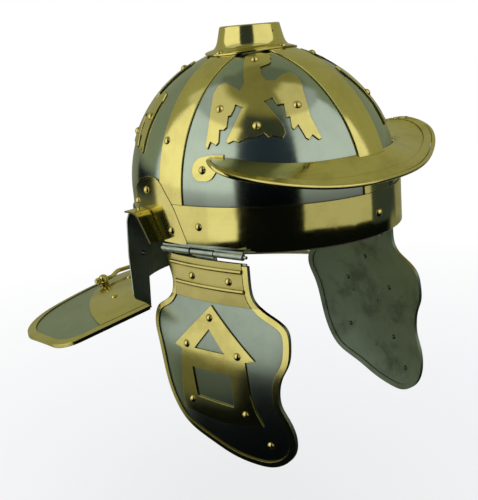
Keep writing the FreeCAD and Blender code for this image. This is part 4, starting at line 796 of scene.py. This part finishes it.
# %% Brow pad's shape
PAD_HALF_WIDTH = 0.0968
PAD_HALF_LENGTH = 0.1149
PAD_TOP = -0.0050
PAD_LOW = -0.0336
PAD_START = 0.0677
PAD_REACH = math.acos(PAD_START / PAD_HALF_LENGTH)
PAD_EDGE = 0.0011
PAD_SWELL = 0.0016
PAD_CHANNELS = 9
SEAM_POWER = 0.5
EDGE_POWER = 4
END_TAPER = 60.0
END_SHARE = 0.35


def oval_point(turn, inward, level):
    """A point on the brow's oval at an angle, moved inward along the oval's own normal."""
    x = PAD_HALF_WIDTH * math.sin(turn)
    y = -PAD_HALF_LENGTH * math.cos(turn)
    way = Vector((x / PAD_HALF_WIDTH ** 2, y / PAD_HALF_LENGTH ** 2, 0.0)).normalized()
    return Vector((x, y, level)) - way * inward


def pad_turn(along):
    """The angle round the oval at a share of the way along the pad."""
    return PAD_REACH * (2.0 * along - 1.0)


def pad_level(across):
    return PAD_LOW + (PAD_TOP - PAD_LOW) * across


def pad_swell(along, across):
    """How far the pad's inner face stands off the bowl, between its edges and its seams."""
    between_seams = abs(math.sin(math.pi * PAD_CHANNELS * along)) ** SEAM_POWER
    between_edges = max(1.0 - (2.0 * across - 1.0) ** EDGE_POWER, 0.0)
    ends = min(1.0, min(along, 1.0 - along) * END_TAPER)
    return (PAD_EDGE + PAD_SWELL * between_seams * between_edges) * (END_SHARE + (1.0 - END_SHARE) * ends)


print("the pad is", round(1000 * pad_swell(0.5, 0.5), 1), "mm thick in its middle")

# %% Brow pad
PAD_STEPS = 216
PAD_PROFILE = 12


def make_pad():
    """A closed loop of points across the pad, carried round the oval."""
    corners = []
    for step in range(PAD_STEPS + 1):
        along = step / PAD_STEPS
        turn = pad_turn(along)
        for index in range(PAD_PROFILE + 1):
            across = index / PAD_PROFILE
            corners.append(oval_point(turn, pad_swell(along, across), pad_level(across)))
        for index in range(PAD_PROFILE, -1, -1):
            corners.append(oval_point(turn, 0.0, pad_level(index / PAD_PROFILE)))
    loop = 2 * (PAD_PROFILE + 1)
    faces = []
    for step in range(PAD_STEPS):
        for index in range(loop):
            here = step * loop + index
            beside = step * loop + (index + 1) % loop
            faces.append((here, here + loop, beside + loop, beside))
    faces.append(tuple(range(loop)))
    faces.append(tuple(range(PAD_STEPS * loop + loop - 1, PAD_STEPS * loop - 1, -1)))
    return own_mesh("brow_pad", corners, faces, leather)


pad = make_pad()
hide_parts("brow_liner")
print("brow pad:", len(pad.data.vertices), "points")

# %% Stitches
STITCH_LENGTH = 0.0030
STITCH_PITCH = 0.0042
STITCH_RADIUS = 0.00035
STITCH_SINK = 0.4
STITCH_SIDES = 6
STITCH_PARTS = 5
STITCH_INSET = 0.10
STITCH_RUN = 0.93
STITCH_START = 0.02
STITCH_AHEAD = 0.01


def stitch(corners, faces, middle, along, out):
    """One short arch of thread that dives into the leather at both ends."""
    first = len(corners)
    across = along.cross(out)
    for part in range(STITCH_PARTS + 1):
        share = part / STITCH_PARTS
        rise = out * STITCH_RADIUS * math.sin(math.pi * share)
        centre = middle + along * STITCH_LENGTH * (share - 0.5) + rise
        for side in range(STITCH_SIDES):
            turn = 2 * math.pi * side / STITCH_SIDES
            corners.append(centre + (across * math.cos(turn) + out * math.sin(turn)) * STITCH_RADIUS)
    for part in range(STITCH_PARTS):
        for side in range(STITCH_SIDES):
            here = first + part * STITCH_SIDES + side
            beside = first + part * STITCH_SIDES + (side + 1) % STITCH_SIDES
            faces.append((here, here + STITCH_SIDES, beside + STITCH_SIDES, beside))
    faces.append(tuple(range(first, first + STITCH_SIDES)))
    last = first + STITCH_PARTS * STITCH_SIDES
    faces.append(tuple(range(last + STITCH_SIDES - 1, last - 1, -1)))


def make_stitches():
    """Two rows of stitches, one along each edge of the pad."""
    corners = []
    faces = []
    count = int(PAD_HALF_LENGTH * 2 * PAD_REACH * STITCH_RUN / STITCH_PITCH)
    for across in (STITCH_INSET, 1.0 - STITCH_INSET):
        for index in range(count):
            share = STITCH_START + (1.0 - 2.0 * STITCH_START) * (index + 0.5) / count
            stand = pad_swell(share, across) + STITCH_RADIUS * STITCH_SINK
            middle = oval_point(pad_turn(share), stand, pad_level(across))
            ahead = oval_point(pad_turn(share) + STITCH_AHEAD, stand, pad_level(across))
            along = (ahead - middle).normalized()
            out = Vector((-middle.x, -middle.y, 0.0))
            out = (out - along * out.dot(along)).normalized()
            stitch(corners, faces, middle, along, out)
    return own_mesh("brow_pad_stitches", corners, faces, thread)


stitches = make_stitches()
print("stitches:", len(stitches.data.polygons), "faces")

# %% [markdown]
# The studio
#
# Polished metal has no look of its own: it shows the room. In the picture two large soft boxes stand left
# and right of the camera, with a dark gap between them where the camera is, and the rest of the room is
# dim. So the same is built here. The boxes are area lamps for everything that is matt. A lamp has square
# corners and one level, and the real boxes fade at their ends, so what the metal sees is a shell of cards
# instead. Each card is a patch of the shell with its own level and a soft edge. The floor is paper white
# and keeps a soft shadow.

# %% Floor
FLOOR_LEVEL = -0.32
FLOOR_HALF = 6.0
PAPER_WHITE = (0.86, 0.86, 0.86, 1.0)
WHITE_LIGHT = (1.0, 1.0, 1.0, 1.0)
PAPER_FADE = [(0.35, 0.0), (1.0, 1.0)]
PAPER_GLOW_NEAR = 0.6


def stage_mesh(name, corners, faces, material):
    """A mesh that belongs to the studio and not to the helmet."""
    mesh = bpy.data.meshes.new(name)
    mesh.from_pydata(corners, [], faces)
    piece = bpy.data.objects.new(name, mesh)
    bpy.context.scene.collection.objects.link(piece)
    mesh.materials.append(material)
    return piece


def paper():
    """Matt paper that fades into the white backdrop with distance from the helmet."""
    finish = Finish("paper")
    x, y = finish.parts(finish.place())[:2]
    reach = (x * x + y * y) ** 0.5
    far = finish.ramp(reach, PAPER_FADE)
    seen = finish.add("ShaderNodeLightPath", output="Is Camera Ray")
    share = seen * (far * (1.0 - PAPER_GLOW_NEAR) + PAPER_GLOW_NEAR)
    matt = finish.add("ShaderNodeBsdfDiffuse", {}, {"Color": PAPER_WHITE})
    glow = finish.add("ShaderNodeEmission", {}, {"Color": WHITE_LIGHT, "Strength": 1.0})
    finish.show(finish.add("ShaderNodeMixShader", {}, {0: share, 1: matt, 2: glow}))
    return finish.material


FLOOR_CORNERS = [(-FLOOR_HALF, -FLOOR_HALF, FLOOR_LEVEL), (FLOOR_HALF, -FLOOR_HALF, FLOOR_LEVEL),
                 (FLOOR_HALF, FLOOR_HALF, FLOOR_LEVEL), (-FLOOR_HALF, FLOOR_HALF, FLOOR_LEVEL)]
floor = stage_mesh("floor", FLOOR_CORNERS, [(0, 1, 2, 3)], paper())
print(floor.name, "at", FLOOR_LEVEL, "m")

# %% Cards
# Each card: from and to bearing, from and to height, level, and the width of its soft edge. Angles are in
# degrees. A bearing is 0 in front of the helmet and grows towards its left ear.
CARDS = [
    ("left_low", -151, -116, -24, 3, 0.80, 4),
    ("left_join", -122, -100, -24, 3, 0.80, 4),
    ("left_edge", -106, -83, -24, 3, 0.92, 3),
    ("left_box", -151, -83, -2, 32, 1.08, 2.5),
    ("left_middle", -151, -84, 28, 46, 1.03, 4),
    ("left_high", -165, -88, 40, 66, 0.62, 10),
    ("left_floor", -165, -105, -42, -20, 0.14, 8),
    ("right_low", -32, 38, -16, 14, 0.48, 2),
    ("right_box", -31, 44, 11, 40, 0.93, 2.5),
    ("right_middle", -31, 42, 36, 60, 0.88, 5),
    ("right_high", -28, 60, 58, 84, 0.56, 8),
    ("ceiling", -180, 180, 58, 95, 0.20, 14),
    ("right_wall", 36, 180, 2, 68, 0.32, 8),
    ("right_wall_low", 36, 180, -18, 4, 0.06, 4),
    ("side_wall_low", 84, 180, -20, 6, 0.26, 10),
    ("side_floor", 70, 140, -55, -14, 0.20, 14),
    ("back_wall", -180, -150, 2, 62, 0.34, 8),
    ("far_floor_right", 120, 180, -60, -12, 0.34, 16),
    ("far_floor_left", -180, -138, -60, -12, 0.30, 16),
]
FULL_SIDE = 180
GAP_LEVEL = 0.004
GAP_HIGH = 0.050
GAP_RISE_HEIGHT = 14.0
GAP_RISE_WIDTH = 22.0
# The dim walls are painted, the dark gap is bluish, and only the white cards in the boxes are neutral.
WALL_PAINT = (0.97, 1.0, 0.66, 1.0)
GAP_PAINT = (0.60, 0.85, 1.25, 1.0)
WALL_FROM = 0.09
WALL_BLEND = 0.06
WHITE_FROM = 0.45
WHITE_BLEND = 0.10
DEGREES = 180.0 / math.pi


def card_shade():
    """The level of the room in each direction, as a sum of soft-edged cards."""
    finish = Finish("card_shade")
    x, y, z = finish.parts(finish.place())
    bearing = finish.add("ShaderNodeMath", {"operation": "ARCTAN2"}, {0: x, 1: y * -1.0}) * DEGREES
    reach = (x * x + y * y) ** 0.5
    height = finish.add("ShaderNodeMath", {"operation": "ARCTAN2"}, {0: z, 1: reach}) * DEGREES
    level = finish.rise(height, GAP_RISE_HEIGHT, GAP_RISE_WIDTH) * (GAP_HIGH - GAP_LEVEL) + GAP_LEVEL
    for name, left, right, low, high, shade, edge in CARDS:
        wide = finish.rise(bearing, left, edge) if left > -FULL_SIDE else 1.0
        narrow = 1.0 - finish.rise(bearing, right, edge) if right < FULL_SIDE else 1.0
        tall = finish.rise(height, low, edge) * (1.0 - finish.rise(height, high, edge))
        level = level.most(tall * wide * narrow * shade)
    dim = finish.blend(finish.rise(level, WALL_FROM, WALL_BLEND), GAP_PAINT, WALL_PAINT)
    paint = finish.blend(finish.rise(level, WHITE_FROM, WHITE_BLEND), dim, WHITE_LIGHT)
    finish.show(finish.add("ShaderNodeEmission", {}, {"Color": paint, "Strength": level}))
    return finish.material


print("cards:", len(CARDS))

# %% Card shell
CARD_RADIUS = 1.9
CARD_RINGS = 24
CARD_SIDES = 64
CARD_LIFT = 0.004
CARD_POLE = 0.999


def card_shell():
    """A shell round the helmet, flattened just above the floor, that only the metal sees."""
    corners = []
    low = FLOOR_LEVEL + CARD_LIFT
    for ring in range(CARD_RINGS + 1):
        rise = math.pi * (ring / CARD_RINGS - 0.5) * CARD_POLE
        for side in range(CARD_SIDES):
            turn = 2 * math.pi * side / CARD_SIDES
            flat = math.cos(rise)
            point = Vector((flat * math.cos(turn), flat * math.sin(turn), math.sin(rise))) * CARD_RADIUS
            if point.z < low:
                point *= low / point.z
            corners.append(point)
    faces = []
    for ring in range(CARD_RINGS):
        for side in range(CARD_SIDES):
            here = ring * CARD_SIDES + side
            beside = ring * CARD_SIDES + (side + 1) % CARD_SIDES
            faces.append((here, beside, beside + CARD_SIDES, here + CARD_SIDES))
    shell = stage_mesh("card_shell", corners, faces, card_shade())
    shell.visible_camera = False
    shell.visible_diffuse = False
    shell.visible_transmission = False
    shell.visible_shadow = False
    return shell


shell = card_shell()
print("card shell:", len(shell.data.polygons), "faces")

# %% [markdown]
# The backdrop
#
# What the camera sees past the floor is plain white, and so is what metal sees past the cards. Matt things
# get a softer, slightly cool light from the same world. A Light Path node tells the rays apart.

# %% World
SKY_TINT = (0.93, 0.96, 1.0, 1.0)
SKY_LEVEL = 0.85


class Sky(Finish):
    """The backdrop, built a node at a time like a material."""

    def __init__(self, name):
        self.world = bpy.data.worlds.new(name)
        self.world.use_nodes = True
        self.tree = self.world.node_tree
        self.tree.nodes.clear()
        self.output = self.tree.nodes.new("ShaderNodeOutputWorld")


def backdrop():
    sky = Sky("backdrop")
    plain = sky.add("ShaderNodeBackground", {}, {"Color": SKY_TINT, "Strength": SKY_LEVEL})
    white = sky.add("ShaderNodeBackground", {}, {"Color": WHITE_LIGHT, "Strength": 1.0})
    seen = sky.add("ShaderNodeLightPath", output="Is Camera Ray")
    shown = seen.most(seen.out("Is Glossy Ray")).most(seen.out("Is Transmission Ray"))
    sky.show(sky.add("ShaderNodeMixShader", {}, {0: shown, 1: plain, 2: white}))
    return sky.world


bpy.context.scene.world = backdrop()
print("backdrop:", bpy.context.scene.world.name)

# %% [markdown]
# Camera
#
# The picture was taken from the helmet's right front and a little above, close enough for a clear
# perspective. The camera is placed by its bearing round the helmet, its height angle and its distance, and
# then turned slightly so that the helmet sits in the frame as it does there.

# %% Camera
BEARING = math.radians(-44.6408)
HEIGHT = math.radians(10.2486)
DISTANCE = 0.6559
TURN = math.radians(2.0573)
DIP = math.radians(4.9181)
ROLL = math.radians(-4.9799)
FOCAL_SHARE = 1.592
SENSOR = 36.0
CLIP_NEAR = 0.02
CLIP_FAR = 50.0


def bearing_way(bearing, height):
    """The unit vector from the helmet to a place at a bearing and height angle."""
    flat = math.cos(height)
    return Vector((math.sin(bearing) * flat, -math.cos(bearing) * flat, math.sin(height)))


def make_camera():
    """The camera, which looks back along its own bearing and is rolled a little."""
    place = bearing_way(BEARING, HEIGHT) * DISTANCE
    back = bearing_way(BEARING + TURN, HEIGHT + DIP)
    side = (-back).cross(Vector((0, 0, 1))).normalized()
    top = side.cross(-back)
    rolled_side = side * math.cos(ROLL) + top * math.sin(ROLL)
    rolled_top = top * math.cos(ROLL) - side * math.sin(ROLL)
    camera = bpy.data.objects.new("camera", bpy.data.cameras.new("camera"))
    bpy.context.scene.collection.objects.link(camera)
    camera.matrix_world = Matrix((
        (rolled_side.x, rolled_top.x, back.x, place.x),
        (rolled_side.y, rolled_top.y, back.y, place.y),
        (rolled_side.z, rolled_top.z, back.z, place.z),
        (0, 0, 0, 1)))
    camera.data.sensor_width = SENSOR
    camera.data.lens = SENSOR * FOCAL_SHARE
    camera.data.clip_start = CLIP_NEAR
    camera.data.clip_end = CLIP_FAR
    bpy.context.scene.camera = camera
    return camera


camera = make_camera()
print("camera at", [round(value, 3) for value in camera.location])

# %% [markdown]
# Soft boxes
#
# The left box stands on the floor and reaches high, and the right one hangs above it. A lamp's level is its
# power spread over its area, so the level is set and the power follows from the size. Both stay near the
# level of white paper. The metal doesn't see them, because the cards already show it the same boxes, and two
# at once would be too bright.

# %% Soft boxes
BOX_DISTANCE = 1.2


def box_span(half_angle):
    """The length that covers an angle to both sides at the box's distance."""
    return 2 * BOX_DISTANCE * math.tan(math.radians(half_angle))


def soft_box(name, bearing, half_bearing, height, half_height, level):
    """A lamp that covers a patch of the room seen from the helmet, in degrees, at a level of light."""
    lamp = bpy.data.lights.new(name, "AREA")
    lamp.shape = "RECTANGLE"
    lamp.size = box_span(half_bearing)
    lamp.size_y = box_span(half_height)
    lamp.energy = math.pi * lamp.size * lamp.size_y * level
    box = bpy.data.objects.new(name, lamp)
    bpy.context.scene.collection.objects.link(box)
    way = bearing_way(math.radians(bearing), math.radians(height))
    box.location = way * BOX_DISTANCE
    box.rotation_mode = "QUATERNION"
    box.rotation_quaternion = way.to_track_quat("Z", "Y")
    box.visible_camera = False
    box.visible_glossy = False
    print(name, "size", round(lamp.size, 2), round(lamp.size_y, 2), "power", round(lamp.energy, 1))


soft_box("left_box", bearing=-118.0, half_bearing=32.0, height=14.0, half_height=15.0, level=1.12)
soft_box("right_box", bearing=3.0, half_bearing=33.0, height=25.0, half_height=13.0, level=0.93)

# %% View transform
bpy.context.scene.view_settings.view_transform = "Standard"
